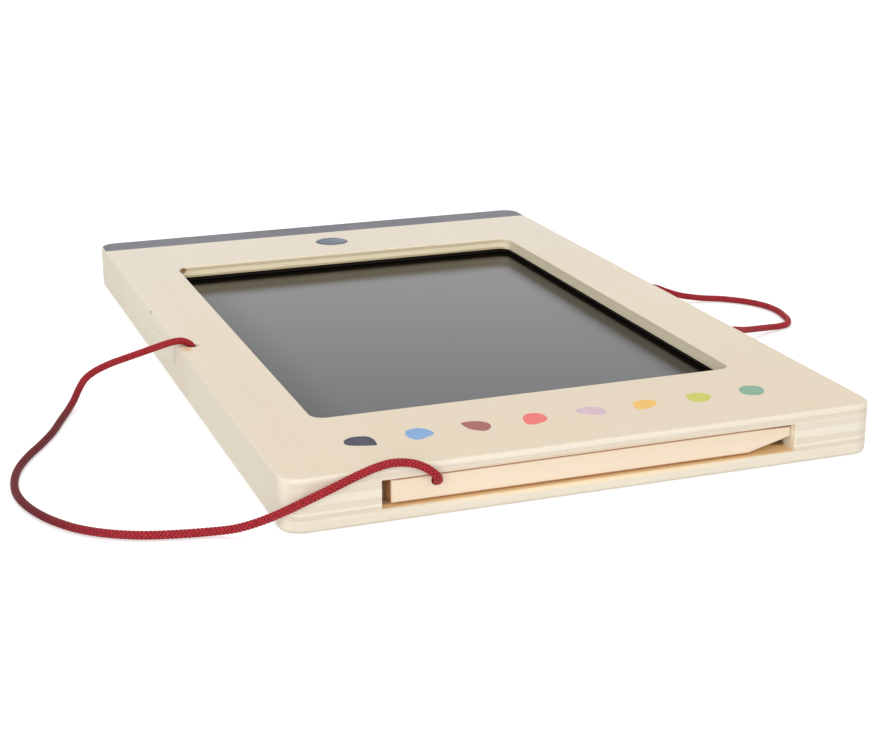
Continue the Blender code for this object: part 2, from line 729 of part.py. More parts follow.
def make_screen_module(bench):
    """Black bezel gasket, LCD film, backing plate and the foam pads that press them up."""
    bezel = bench.add_slab(
        "screen_bezel",
        (*MODULE_LOW, BEZEL_TOP - BEZEL_THICKNESS),
        (*MODULE_HIGH, BEZEL_TOP),
        BLACK_FOAM,
        corner=MODULE_CORNER,
    )
    setback = Vector((BEZEL_SETBACK, BEZEL_SETBACK))
    bench.cut_slab(
        bezel,
        "bezel_window_cut",
        (*(WINDOW_LOW - setback), BEZEL_TOP - BEZEL_THICKNESS - OVERCUT),
        (*(WINDOW_HIGH + setback), BEZEL_TOP + OVERCUT),
        WINDOW_CORNER + BEZEL_SETBACK,
    )
    bench.add_slab(
        "lcd_film",
        (*MODULE_LOW, FILM_TOP - FILM_THICKNESS),
        (*MODULE_HIGH, FILM_TOP),
        SCREEN,
        corner=MODULE_CORNER,
    )
    bench.add_slab(
        "lcd_backing_plate",
        (*MODULE_LOW, PLATE_TOP - PLATE_THICKNESS),
        (*MODULE_HIGH, PLATE_TOP),
        BLACK_PLASTIC,
        corner=MODULE_CORNER,
    )
    rows = (
        ("near", MODULE_LOW.y + FOAM_PAD_INSET),
        ("far", MODULE_HIGH.y - FOAM_PAD_INSET - FOAM_PAD_LENGTH),
    )
    columns = (
        ("left", MODULE_LOW.x + FOAM_PAD_INSET),
        ("right", MODULE_HIGH.x - FOAM_PAD_INSET - FOAM_PAD_WIDTH),
    )
    for row, y in rows:
        for column, x in columns:
            bench.add_slab(
                f"foam_pad_{row}_{column}",
                (x, y, FOAM_BOTTOM),
                (x + FOAM_PAD_WIDTH, y + FOAM_PAD_LENGTH, FOAM_TOP),
                BLACK_FOAM,
            )


def make_circuit_board(bench):
    """The board on its spacers and screws, with the chip, the switch, the connector and the flex cable."""
    board = bench.add_slab(
        "circuit_board",
        (PCB_LEFT_X, PCB_NEAR_Y, PCB_BOTTOM),
        (PCB_RIGHT_X, PCB_FAR_Y, PCB_TOP),
        SOLDER_MASK,
        corner=BAY_CORNER,
    )
    for name, x, y in BOARD_SCREW_PLACES:
        bench.cut_rod(
            board,
            f"board_hole_cut_{name}",
            BOARD_SCREW_HOLE,
            (x, y, PCB_BOTTOM - OVERCUT),
            (x, y, PCB_TOP + OVERCUT),
            sides=SMALL_SIDES,
        )
        make_spacer(bench, f"board_spacer_{name}", x, y)
        make_board_screw(bench, f"board_screw_{name}", x, y)
    chip_x = BUTTON_X - CHIP_FROM_BUTTON
    bench.add_slab(
        "controller_chip",
        (chip_x - CHIP_WIDTH / 2, BAY_MIDDLE_Y - CHIP_LENGTH / 2, PCB_TOP + SEAT_GAP),
        (chip_x + CHIP_WIDTH / 2, BAY_MIDDLE_Y + CHIP_LENGTH / 2, PCB_TOP + SEAT_GAP + CHIP_HEIGHT),
        BLACK_PLASTIC,
    )
    make_switch_body(bench)
    make_flex_cable(bench)


def make_spacer(bench, name, x, y):
    """A sleeve between the back panel and the circuit board."""
    bottom, top = BACK_TOP + SEAT_GAP, PCB_BOTTOM - SEAT_GAP
    inner, outer = BOARD_SCREW_HOLE, BOARD_SCREW_HOLE + SPACER_WALL
    profile = [(inner, top), (outer, top), (outer, bottom), (inner, bottom), (inner, top)]
    bench.add_turned(name, profile, GREY_PLASTIC, (x, y, 0), SMALL_SIDES)


def make_board_screw(bench, name, x, y):
    """A pan head screw through the board and its spacer into the back panel."""
    seat = PCB_TOP + SEAT_GAP
    shank = BOARD_SCREW_DIAMETER / 2
    head = BOARD_SCREW_HEAD / 2
    top = seat + BOARD_SCREW_HEAD_HEIGHT
    end = BACK_TOP - BOARD_SCREW_BITE
    profile = [
        (0, top),
        (head - shank / 2, top),
        (head, seat),
        (shank, seat),
        (shank, end + shank),
        (0, end),
    ]
    bench.add_turned(name, profile, STEEL, (x, y, 0), SMALL_SIDES)


def make_switch_body(bench):
    """The fixed body of the push switch, with a well for its plunger."""
    half = SWITCH_WIDTH / 2
    body = bench.add_slab(
        "tact_switch_body",
        (BUTTON_X - half, BUTTON_Y - half, SWITCH_BOTTOM),
        (BUTTON_X + half, BUTTON_Y + half, SWITCH_TOP),
        BLACK_PLASTIC,
    )
    floor = SWITCH_TOP - PLUNGER_DEPTH - BUTTON_TRAVEL - SEAT_GAP
    bench.cut_rod(
        body,
        "plunger_well_cut",
        PLUNGER_DIAMETER / 2 + PLUNGER_CLEARANCE,
        (BUTTON_X, BUTTON_Y, floor),
        (BUTTON_X, BUTTON_Y, SWITCH_TOP + OVERCUT),
        sides=SMALL_SIDES,
    )


def make_flex_cable(bench):
    """The connector on the board and the flat cable that runs into it from the LCD film."""
    far_y = CONNECTOR_NEAR_Y + CONNECTOR_LENGTH
    half = FLEX_WIDTH / 2 + CONNECTOR_WALL
    connector = bench.add_slab(
        "flex_connector",
        (FLEX_X - half, CONNECTOR_NEAR_Y, CONNECTOR_BOTTOM),
        (FLEX_X + half, far_y, CONNECTOR_BOTTOM + CONNECTOR_HEIGHT),
        BLACK_PLASTIC,
    )
    mouth = FLEX_WIDTH / 2 + HOLE_CLEARANCE
    lip = FLEX_THICKNESS / 2 + HOLE_CLEARANCE
    bench.cut_slab(
        connector,
        "connector_mouth_cut",
        (FLEX_X - mouth, CONNECTOR_NEAR_Y - OVERCUT, CONNECTOR_MIDDLE - lip),
        (FLEX_X + mouth, CONNECTOR_NEAR_Y + FLEX_PLUG_DEPTH + SEAT_GAP, CONNECTOR_MIDDLE + lip),
    )
    start_y = MODULE_HIGH.y + SEAT_GAP
    film_z = FILM_TOP - FILM_THICKNESS / 2
    bend = (CONNECTOR_NEAR_Y - start_y) / 3
    path = (
        (start_y, film_z),
        (start_y + bend, film_z),
        (CONNECTOR_NEAR_Y - bend, CONNECTOR_MIDDLE),
        (CONNECTOR_NEAR_Y + FLEX_PLUG_DEPTH, CONNECTOR_MIDDLE),
    )
    cable = bench.add("flex_cable", strip_mesh("flex_cable", path, FLEX_WIDTH), AMBER_FILM, (FLEX_X, 0, 0))
    solidify = cable.modifiers.new("thickness", "SOLIDIFY")
    solidify.thickness = FLEX_THICKNESS
    solidify.offset = 0.0


def make_battery(bench):
    """Coin cell, holder ring, contacts, door, door screw and threaded insert."""
    bottom, top = BACK_TOP + SEAT_GAP, PCB_BOTTOM - SEAT_GAP
    ring = [(HOLDER_BORE, top), (HOLDER_RADIUS, top), (HOLDER_RADIUS, bottom), (HOLDER_BORE, bottom)]
    place = (CELL_X, BAY_MIDDLE_Y, 0)
    holder = bench.add_turned("battery_holder", [*ring, ring[0]], BLACK_PLASTIC, place)
    notch = POSITIVE_CONTACT_WIDTH / 2 + HOLE_CLEARANCE
    bench.cut_slab(
        holder,
        "holder_notch_cut",
        (CELL_X - notch, BAY_MIDDLE_Y - HOLDER_RADIUS - OVERCUT, bottom - OVERCUT),
        (CELL_X + notch, BAY_MIDDLE_Y - CELL_DIAMETER / 2 + OVERCUT, top + OVERCUT),
    )
    radius = CELL_DIAMETER / 2
    cell = [
        (0, CELL_TOP),
        (radius - 2 * CELL_EDGE, CELL_TOP),
        (radius - CELL_EDGE, CELL_TOP - CELL_EDGE),
        (radius, CELL_TOP - CELL_EDGE),
        (radius, CELL_BOTTOM + CELL_EDGE / 2),
        (radius - CELL_EDGE / 2, CELL_BOTTOM),
        (0, CELL_BOTTOM),
    ]
    bench.add_turned("coin_cell", cell, STEEL, place)
    contact_top = CONTACT_BOTTOM + CONTACT_THICKNESS
    disc = NEGATIVE_CONTACT_DIAMETER / 2
    leaf = [(0, contact_top), (disc, contact_top), (disc, CONTACT_BOTTOM), (0, CONTACT_BOTTOM)]
    bench.add_turned("battery_contact_negative", leaf, BRASS, place, SMALL_SIDES)
    leg_y = BAY_MIDDLE_Y - radius - SEAT_GAP - CONTACT_THICKNESS / 2
    foot_z = contact_top - CONTACT_THICKNESS / 2
    path = ((leg_y, bottom), (leg_y, foot_z), (leg_y - POSITIVE_CONTACT_FOOT, foot_z))
    leg = strip_mesh("battery_contact_positive", path, POSITIVE_CONTACT_WIDTH)
    contact = bench.add("battery_contact_positive", leg, BRASS, (CELL_X, 0, 0))
    solidify = contact.modifiers.new("thickness", "SOLIDIFY")
    solidify.thickness = CONTACT_THICKNESS
    solidify.offset = 0.0
    make_battery_door(bench)


def make_battery_door(bench):
    """The flush door on the underside, held by one screw in a brass insert."""
    door = bench.add_slab(
        "battery_door",
        (DOOR_LEFT_X, BAY_MIDDLE_Y - DOOR_HALF_WIDTH, DOOR_RECESS),
        (DOOR_RIGHT_X, BAY_MIDDLE_Y + DOOR_HALF_WIDTH, DOOR_TOP),
        BLACK_PLASTIC,
        corner=DOOR_CORNER,
    )
    head = DOOR_SCREW_HEAD / 2
    counterbore_top = DOOR_SCREW_SEAT + SEAT_GAP
    bench.cut_rod(
        door,
        "door_counterbore_cut",
        head + HOLE_CLEARANCE,
        (DOOR_SCREW_X, BAY_MIDDLE_Y, 0),
        (DOOR_SCREW_X, BAY_MIDDLE_Y, counterbore_top),
        sides=SMALL_SIDES,
    )
    bench.cut_rod(
        door,
        "door_hole_cut",
        DOOR_SCREW_HOLE,
        (DOOR_SCREW_X, BAY_MIDDLE_Y, 0),
        (DOOR_SCREW_X, BAY_MIDDLE_Y, DOOR_TOP + OVERCUT),
        sides=SMALL_SIDES,
    )
    place = (DOOR_SCREW_X, BAY_MIDDLE_Y, 0)
    shank = DOOR_SCREW_DIAMETER / 2
    end = INSERT_BOTTOM + DOOR_SCREW_BITE
    screw = [
        (0, end),
        (shank, end - shank / 2),
        (shank, DOOR_SCREW_SEAT),
        (head, DOOR_SCREW_SEAT),
        (head, DOOR_SCREW_BOTTOM + DOOR_SCREW_INSET),
        (head - DOOR_SCREW_INSET, DOOR_SCREW_BOTTOM),
        (0, DOOR_SCREW_BOTTOM),
    ]
    bench.add_turned("battery_door_screw", screw, STEEL, place, SMALL_SIDES)
    top = INSERT_BOTTOM + INSERT_LENGTH
    sleeve = [
        (DOOR_SCREW_HOLE, top),
        (INSERT_RADIUS, top),
        (INSERT_RADIUS, INSERT_BOTTOM),
        (DOOR_SCREW_HOLE, INSERT_BOTTOM),
    ]
    bench.add_turned("battery_door_insert", [*sleeve, sleeve[0]], BRASS, place, SMALL_SIDES)


def make_erase_button(bench):
    """The erase button with its flange under the panel, and the switch plunger that it pushes."""
    slide = bench.add_empty("erase_button_slide", Vector((BUTTON_X, BUTTON_Y, 0)), bench.board)
    radius = BUTTON_DIAMETER / 2
    rim = FRONT_TOP + BUTTON_RISE - BUTTON_CROWN
    lip = radius + FLANGE_LIP
    flat = radius - BUTTON_EDGE
    profile = [(0, rim + BUTTON_CROWN), (radius / 2, rim + BUTTON_CROWN * 0.75)]
    for step in range(EDGE_STEPS + 1):
        angle = math.pi / 2 * (1 - step / EDGE_STEPS)
        drop = BUTTON_EDGE * (1 - math.sin(angle))
        profile.append((flat + BUTTON_EDGE * math.cos(angle), rim - drop))
    profile += [(radius, FLANGE_TOP), (lip, FLANGE_TOP), (lip, FLANGE_BOTTOM), (0, FLANGE_BOTTOM)]
    bench.add_turned("erase_button", profile, GREY_PLASTIC, slide.location, parent=slide)
    pin = PLUNGER_DIAMETER / 2
    bottom = SWITCH_TOP - PLUNGER_DEPTH
    plunger = [(0, PLUNGER_TOP), (pin, PLUNGER_TOP), (pin, bottom), (0, bottom)]
    bench.add_turned("tact_switch_plunger", plunger, BLACK_PLASTIC, slide.location, SMALL_SIDES, slide)


def stylus_mesh():
    """A square stick with rounded edges, a blunt left end and a wedge-shaped tip at the right."""
    half = STYLUS_LENGTH / 2
    body = STYLUS_LENGTH - STYLUS_TAPER
    size = Matrix.Diagonal((body, STYLUS_SECTION, STYLUS_SECTION, 1.0))
    bm = bmesh.new()
    bmesh.ops.create_cube(bm, size=1.0, matrix=Matrix.Translation((body / 2 - half, 0, 0)) @ size)
    long_edges = [e for e in bm.edges if abs(e.verts[0].co.x - e.verts[1].co.x) > TINY]
    round_edges(bm, long_edges, STYLUS_EDGE, EDGE_STEPS)
    blunt_rim = [e for e in bm.edges if all(v.co.x < TINY - half for v in e.verts)]
    round_edges(bm, blunt_rim, STYLUS_EDGE / 2, 2)
    bm.faces.ensure_lookup_table()
    face = max(bm.faces, key=lambda each: each.calc_center_median().x)
    depth, height, rise = STYLUS_SECTION, STYLUS_SECTION, 0.0
    blunt = STYLUS_TIP_BLUNT
    steps = (
        (STYLUS_TAPER - blunt, STYLUS_TIP_DEPTH, STYLUS_TIP_HEIGHT),
        (blunt, STYLUS_TIP_DEPTH - 2 * blunt, STYLUS_TIP_HEIGHT - 2 * blunt),
    )
    for advance, next_depth, next_height in steps:
        face = bmesh.ops.extrude_discrete_faces(bm, faces=[face])["faces"][0]
        share = next_height / height
        bmesh.ops.scale(bm, verts=face.verts, vec=(1.0, next_depth / depth, share))
        bmesh.ops.translate(bm, verts=face.verts, vec=(advance, 0, STYLUS_TIP_RISE - rise * share))
        depth, height, rise = next_depth, next_height, STYLUS_TIP_RISE
    return mesh_from(bm, "stylus")


def make_stylus(bench):
    """The wooden stylus with the blind hole that takes the tether."""
    slide = bench.add_empty("stylus_slide", STYLUS_MIDDLE, bench.board)
    stylus = bench.add("stylus", stylus_mesh(), STYLUS_WOOD, STYLUS_MIDDLE, slide)
    bench.cut_rod(
        stylus,
        "stylus_hole_cut",
        CORD_HOLE_RADIUS,
        (STYLUS_HOLE_X, STYLUS_FRONT_Y - OVERCUT, STYLUS_HOLE_Z),
        (STYLUS_HOLE_X, STYLUS_FRONT_Y + STYLUS_HOLE_DEPTH, STYLUS_HOLE_Z),
        axis="Y",
        sides=SMALL_SIDES,
    )
    return slide


def make_knot(bench, name, x, y):
    """A tied cord end in its pocket."""
    bm = bmesh.new()
    bmesh.ops.create_uvsphere(
        bm,
        u_segments=SMALL_SIDES,
        v_segments=SMALL_SIDES // 2,
        radius=0.5,
        matrix=Matrix.Diagonal((KNOT_DIAMETER, KNOT_DIAMETER, KNOT_HEIGHT, 1.0)),
    )
    bench.add(name, mesh_from(bm, name), RED_CORD, (x, y, CORE_MIDDLE))


def make_cords(bench, stylus_slide):
    """The stylus tether in two stretches, the carrying loop and the three knots."""
    stylus_mouth = Vector((STYLUS_HOLE_X, STYLUS_FRONT_Y, STYLUS_HOLE_Z))
    stylus_end = stylus_mouth + Vector((0, STYLUS_HOLE_DEPTH - CORD_CLEARANCE, 0))
    free = [Vector(p) * MM for p in TETHER_ROUTE]
    tether = smooth_route([TETHER_CORD_START, *free, stylus_mouth, stylus_end])
    length = route_length(tether)
    split = length - TETHER_SPLIT_FROM_STYLUS
    bench.add_cord("stylus_cord", stretch(tether, 0.0, split - CORD_CLEARANCE / 2))
    bench.add_cord("stylus_cord_end", stretch(tether, split + CORD_CLEARANCE / 2, length), stylus_slide)
    ends = [
        [Vector((x, y, CORE_MIDDLE)) for x in (LOOP_CORD_START_X, SIDE_X)]
        for y in (LOOP_HOLE_FAR_Y, LOOP_HOLE_NEAR_Y)
    ]
    loop = smooth_route([*ends[0], *(Vector(p) * MM for p in LOOP_ROUTE), *reversed(ends[1])])
    bench.add_cord("carry_loop", loop)
    make_knot(bench, "tether_knot", TETHER_HOLE_X, TETHER_HOLE_Y)
    make_knot(bench, "carry_loop_knot_far", LOOP_KNOT_X, LOOP_HOLE_FAR_Y)
    make_knot(bench, "carry_loop_knot_near", LOOP_KNOT_X, LOOP_HOLE_NEAR_Y)
    print(f"tether {length / MM:.1f} mm, carrying loop {route_length(loop) / MM:.1f} mm")


def main():
    """Builds the tablet."""
    clear_scene()
    bench = Bench()
    make_back_panel(bench)
    make_core_frame(bench)
    make_front_panel(bench)
    make_screen_module(bench)
    make_circuit_board(bench)
    make_battery(bench)
    make_erase_button(bench)
    stylus_slide = make_stylus(bench)
    make_cords(bench, stylus_slide)


main()
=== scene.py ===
"""Looks of the wooden LCD writing tablet: plywood board, screen, erase button, corded stylus and door.

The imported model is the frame. Everything is in metres, +Z is up, and the front edge with the stylus
slot faces -Y. Each class below builds one sub-assembly in the place of its solids and dresses it.
"""

import logging
import math
from collections.abc import Callable, Sequence
from dataclasses import dataclass, field
from enum import Enum
from typing import Any

import bmesh
import bpy
import numpy as np
from mathutils import Matrix, Vector


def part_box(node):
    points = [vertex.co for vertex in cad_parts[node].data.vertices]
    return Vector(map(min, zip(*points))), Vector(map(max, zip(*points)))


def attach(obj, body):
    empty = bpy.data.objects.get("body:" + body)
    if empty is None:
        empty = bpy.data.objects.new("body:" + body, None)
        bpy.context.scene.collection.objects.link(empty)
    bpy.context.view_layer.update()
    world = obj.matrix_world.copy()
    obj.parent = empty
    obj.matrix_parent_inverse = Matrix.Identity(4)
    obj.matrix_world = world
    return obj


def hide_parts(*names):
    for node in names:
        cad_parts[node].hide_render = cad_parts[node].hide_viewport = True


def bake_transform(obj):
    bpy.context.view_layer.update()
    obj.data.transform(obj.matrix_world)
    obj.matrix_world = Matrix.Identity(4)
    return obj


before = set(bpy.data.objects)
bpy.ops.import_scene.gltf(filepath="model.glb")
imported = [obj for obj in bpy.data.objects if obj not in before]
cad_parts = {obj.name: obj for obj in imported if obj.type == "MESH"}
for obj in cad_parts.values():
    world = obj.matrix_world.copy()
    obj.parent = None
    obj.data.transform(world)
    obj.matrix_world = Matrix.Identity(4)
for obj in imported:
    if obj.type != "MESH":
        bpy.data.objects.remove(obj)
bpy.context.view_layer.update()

LOG = logging.getLogger("tablet")
MM = 0.001
TOUCH = 1e-5
OVERCUT = 1.0 * MM
CREASE = math.radians(50)

# Sizes and names that several sub-assemblies share
WINDOW_MARGIN = 6.0 * MM
BUTTON_FLANGE = 1.4 * MM
CORD_DIAMETER = 2.3 * MM
CORD_HOLE = CORD_DIAMETER / 2 + 0.3 * MM
CORD_MAP = "braid"
LOOP_KNOTS = ("carry_loop_knot_far", "carry_loop_knot_near")
SCREW_PLACES = ("near_left", "far_left", "middle")

Colour = tuple[float, float, float]
Point = tuple[float, float, float]
Pair = tuple[float, float]
Test = Callable[[Any], bool]
Piece = bpy.types.Object
Socket = bpy.types.NodeSocket
Sockets = bpy.types.bpy_prop_collection

# Ranges for masks: most of a noise, most of a smudge, and a fall from 1 to 0
NOISE: Pair = (0.3, 0.7)
SMUDGE: Pair = (0.0, 0.5)
FALL: Pair = (1.0, 0.0)


def display(red: int, green: int, blue: int) -> Colour:
    """The linear colour of a display colour, as shader sockets take it, from levels of 0 to 255."""
    levels = (value / 255 for value in (red, green, blue))
    return tuple(v / 12.92 if v <= 0.04045 else ((v + 0.055) / 1.055) ** 2.4 for v in levels)


class Body(Enum):
    """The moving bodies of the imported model."""

    TABLET = "tablet"
    STYLUS = "stylus"
    BUTTON = "erase_button"


class Slot(Enum):
    """The record's material slots."""

    PLYWOOD = "plywood"
    STYLUS_WOOD = "stylus_wood"
    SCREEN_FILM = "screen_film"
    BLACK_FOAM = "black_foam"
    BLACK_PLASTIC = "black_plastic"
    GREY_PLASTIC = "grey_plastic"
    SOLDER_MASK = "solder_mask"
    AMBER_FILM = "amber_film"
    STEEL = "steel"
    BRASS = "brass"
    RED_CORD = "red_cord"


class Pick(Enum):
    """What a selection in edit mode takes."""

    EDGES = "edges"
    FACES = "faces"


@dataclass(frozen=True)
class Span:
    """The box between a lowest and a highest corner."""

    low: Vector
    high: Vector

    @classmethod
    def of(cls, node: str) -> "Span":
        """The box of a solid of the frame."""
        return cls(*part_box(node))

    @property
    def middle(self) -> Vector:
        """The middle of the box."""
        return (self.low + self.high) / 2

    @property
    def size(self) -> Vector:
        """The box's three sizes."""
        return self.high - self.low

    def grown(self, plan: float, up_and_down: float = 0.0) -> "Span":
        """The box with its four sides, and its top and bottom, moved outwards."""
        more = Vector((plan, plan, up_and_down))
        return Span(self.low - more, self.high + more)

    def at(self, bottom: float, top: float) -> "Span":
        """The same plan between two other heights."""
        return Span(Vector((*self.low.xy, bottom)), Vector((*self.high.xy, top)))


FACE = Span.of("front_panel")


def at_height(height: float) -> Test:
    """A test for edges that lie at a height."""
    return lambda edge: all(abs(vert.co.z - height) < TOUCH for vert in edge.verts)


def is_upright(edge: Any) -> bool:
    """Whether an edge rises from one height to another."""
    return abs(edge.verts[0].co.z - edge.verts[1].co.z) > TOUCH


def is_crease(edge: Any) -> bool:
    """Whether an edge's two faces meet at a marked angle."""
    return edge.calc_face_angle(0.0) > CREASE


class Bench:
    """Modelling moves made with Blender's operators, as by hand."""

    CORNER_STEPS = 14
    RIM_STEPS = 6
    HOLE_SIDES = 48
    TURNED_SIDES = 96
    SMOOTH_BELOW = math.radians(35)

    @staticmethod
    def put_down() -> None:
        """Leaves edit mode and deselects everything."""
        active = bpy.context.view_layer.objects.active
        if active is not None and active.mode != "OBJECT":
            bpy.ops.object.mode_set(mode="OBJECT")
        bpy.ops.object.select_all(action="DESELECT")

    @staticmethod
    def take(obj: Piece) -> None:
        """Makes one object the active and the only selected one.

        Args:
            obj: The object to work on next.
        """
        Bench.put_down()
        obj.select_set(True)
        bpy.context.view_layer.objects.active = obj

    @staticmethod
    def settle(name: str) -> Piece:
        """Names the new primitive and puts its place, turn and size into its mesh.

        Args:
            name: The primitive's new name.

        Returns:
            The primitive.
        """
        obj = bpy.context.object
        obj.name = name
        obj.data.name = name
        bpy.ops.object.transform_apply(location=True, rotation=True, scale=True)
        return obj

    @staticmethod
    def block(name: str, span: Span) -> Piece:
        """A cube drawn out to a box.

        Args:
            name: The new object's name.
            span: The box.

        Returns:
            The block.
        """
        Bench.put_down()
        bpy.ops.mesh.primitive_cube_add(size=1.0, location=span.middle)
        bpy.context.object.scale = span.size
        return Bench.settle(name)

    @staticmethod
    def pick(obj: Piece, kind: Pick, test: Test) -> None:
        """Goes into edit mode with the edges or faces selected that pass a test.

        Args:
            obj: The mesh object to edit.
            kind: Whether edges or faces are selected.
            test: Says of an edge or a face whether it is selected.
        """
        Bench.take(obj)
        bpy.context.tool_settings.mesh_select_mode = (False, kind is Pick.EDGES, kind is Pick.FACES)
        bpy.ops.object.mode_set(mode="EDIT")
        bpy.ops.mesh.select_all(action="DESELECT")
        shape = bmesh.from_edit_mesh(obj.data)
        for item in getattr(shape, kind.value):
            if test(item):
                item.select_set(True)
        shape.select_flush_mode()
        bmesh.update_edit_mesh(obj.data)

    @staticmethod
    def pick_all(obj: Piece) -> None:
        """Goes into edit mode with every face selected."""
        Bench.pick(obj, Pick.FACES, lambda face: True)

    @staticmethod
    def face_outwards() -> None:
        """Turns every face of the mesh in edit mode outwards, and leaves edit mode."""
        bpy.ops.mesh.select_all(action="SELECT")
        bpy.ops.mesh.normals_make_consistent(inside=False)
        Bench.put_down()

    @staticmethod
    def round_off(obj: Piece, test: Test, radius: float, steps: int) -> None:
        """Rounds the edges that pass a test.

        Args:
            obj: The mesh object.
            test: Says of an edge whether it is rounded.
            radius: Radius of the rounding.
            steps: Facets of the rounding.
        """
        Bench.pick(obj, Pick.EDGES, test)
        bpy.ops.mesh.bevel(offset=radius, offset_type="OFFSET", segments=steps, profile=0.5, affect="EDGES")
        Bench.put_down()

    @staticmethod
    def slab(
        name: str,
        span: Span,
        corner: float,
        top_edge: float = 0.0,
        bottom_edge: float = 0.0,
        steps: int = CORNER_STEPS,
    ) -> Piece:
        """A plate with rounded upright corners and rounded rims.

        Args:
            name: The new object's name.
            span: The box that the plate fills.
            corner: Radius of the upright corners.
            top_edge: Radius of the upper rim, or 0 for a square one.
            bottom_edge: Radius of the lower rim, or 0 for a square one.
            steps: Facets of each corner.

        Returns:
            The plate.
        """
        plate = Bench.block(name, span)
        Bench.round_off(plate, is_upright, corner, steps)
        for height, radius in ((span.high.z, top_edge), (span.low.z, bottom_edge)):
            if radius > 0:
                Bench.round_off(plate, at_height(height), radius, Bench.RIM_STEPS)
        return plate

    @staticmethod
    def cut(target: Piece, cutter: Piece) -> None:
        """Cuts a cutter's shape out of a piece and takes the cutter away.

        Args:
            target: The piece.
            cutter: The shape to cut out.
        """
        Bench.take(target)
        bpy.ops.object.modifier_add(type="BOOLEAN")
        boolean = target.modifiers[-1]
        boolean.operation = "DIFFERENCE"
        boolean.solver = "EXACT"
        boolean.object = cutter
        bpy.ops.object.modifier_apply(modifier=boolean.name)
        bpy.data.objects.remove(cutter, do_unlink=True)

    @staticmethod
    def drill(target: Piece, radius: float, start: Vector, end: Vector, sides: int = HOLE_SIDES) -> None:
        """Cuts a round hole between two points.

        Args:
            target: The piece.
            radius: The hole's radius.
            start: One end of its axis.
            end: The other end.
            sides: Facets round the hole.
        """
        Bench.put_down()
        axis = end - start
        bpy.ops.mesh.primitive_cylinder_add(
            vertices=sides,
            radius=radius,
            depth=axis.length,
            location=(start + end) / 2,
            rotation=axis.to_track_quat("Z", "Y").to_euler(),
        )
        Bench.cut(target, Bench.settle("drill"))

    @staticmethod
    def turned(name: str, axis: Vector, profile: Sequence[Pair], sides: int = TURNED_SIDES) -> Piece:
        """A turned piece, drawn out ring by ring from a disc.

        Args:
            name: The new object's name.
            axis: A point on its upright axis.
            profile: Radius and height of each ring, from one end to the other.
            sides: Facets round the axis.

        Returns:
            The turned piece.
        """
        Bench.put_down()
        radius, height = profile[0]
        bpy.ops.mesh.primitive_circle_add(
            vertices=sides, radius=radius, fill_type="NGON", location=(*axis.xy, height)
        )
        piece = Bench.settle(name)
        Bench.pick_all(piece)
        for next_radius, next_height in profile[1:]:
            rise = (0.0, 0.0, next_height - height)
            bpy.ops.mesh.extrude_region_move(TRANSFORM_OT_translate={"value": rise})
            share = next_radius / radius
            centre = (*axis.xy, next_height)
            bpy.ops.transform.resize(value=(share, share, 1.0), center_override=centre)
            radius, height = next_radius, next_height
        Bench.face_outwards()
        return piece

    @staticmethod
    def polish(obj: Piece) -> Piece:
        """Shades round stretches smooth and keeps flat faces flat.

        Args:
            obj: The finished mesh object.

        Returns:
            The same object.
        """
        Bench.take(obj)
        bpy.ops.object.shade_smooth_by_angle(angle=Bench.SMOOTH_BELOW)
        bpy.ops.object.modifier_add(type="WEIGHTED_NORMAL")
        weighted = obj.modifiers[-1]
        weighted.keep_sharp = True
        bpy.ops.object.modifier_apply(modifier=weighted.name)
        Bench.put_down()
        return obj


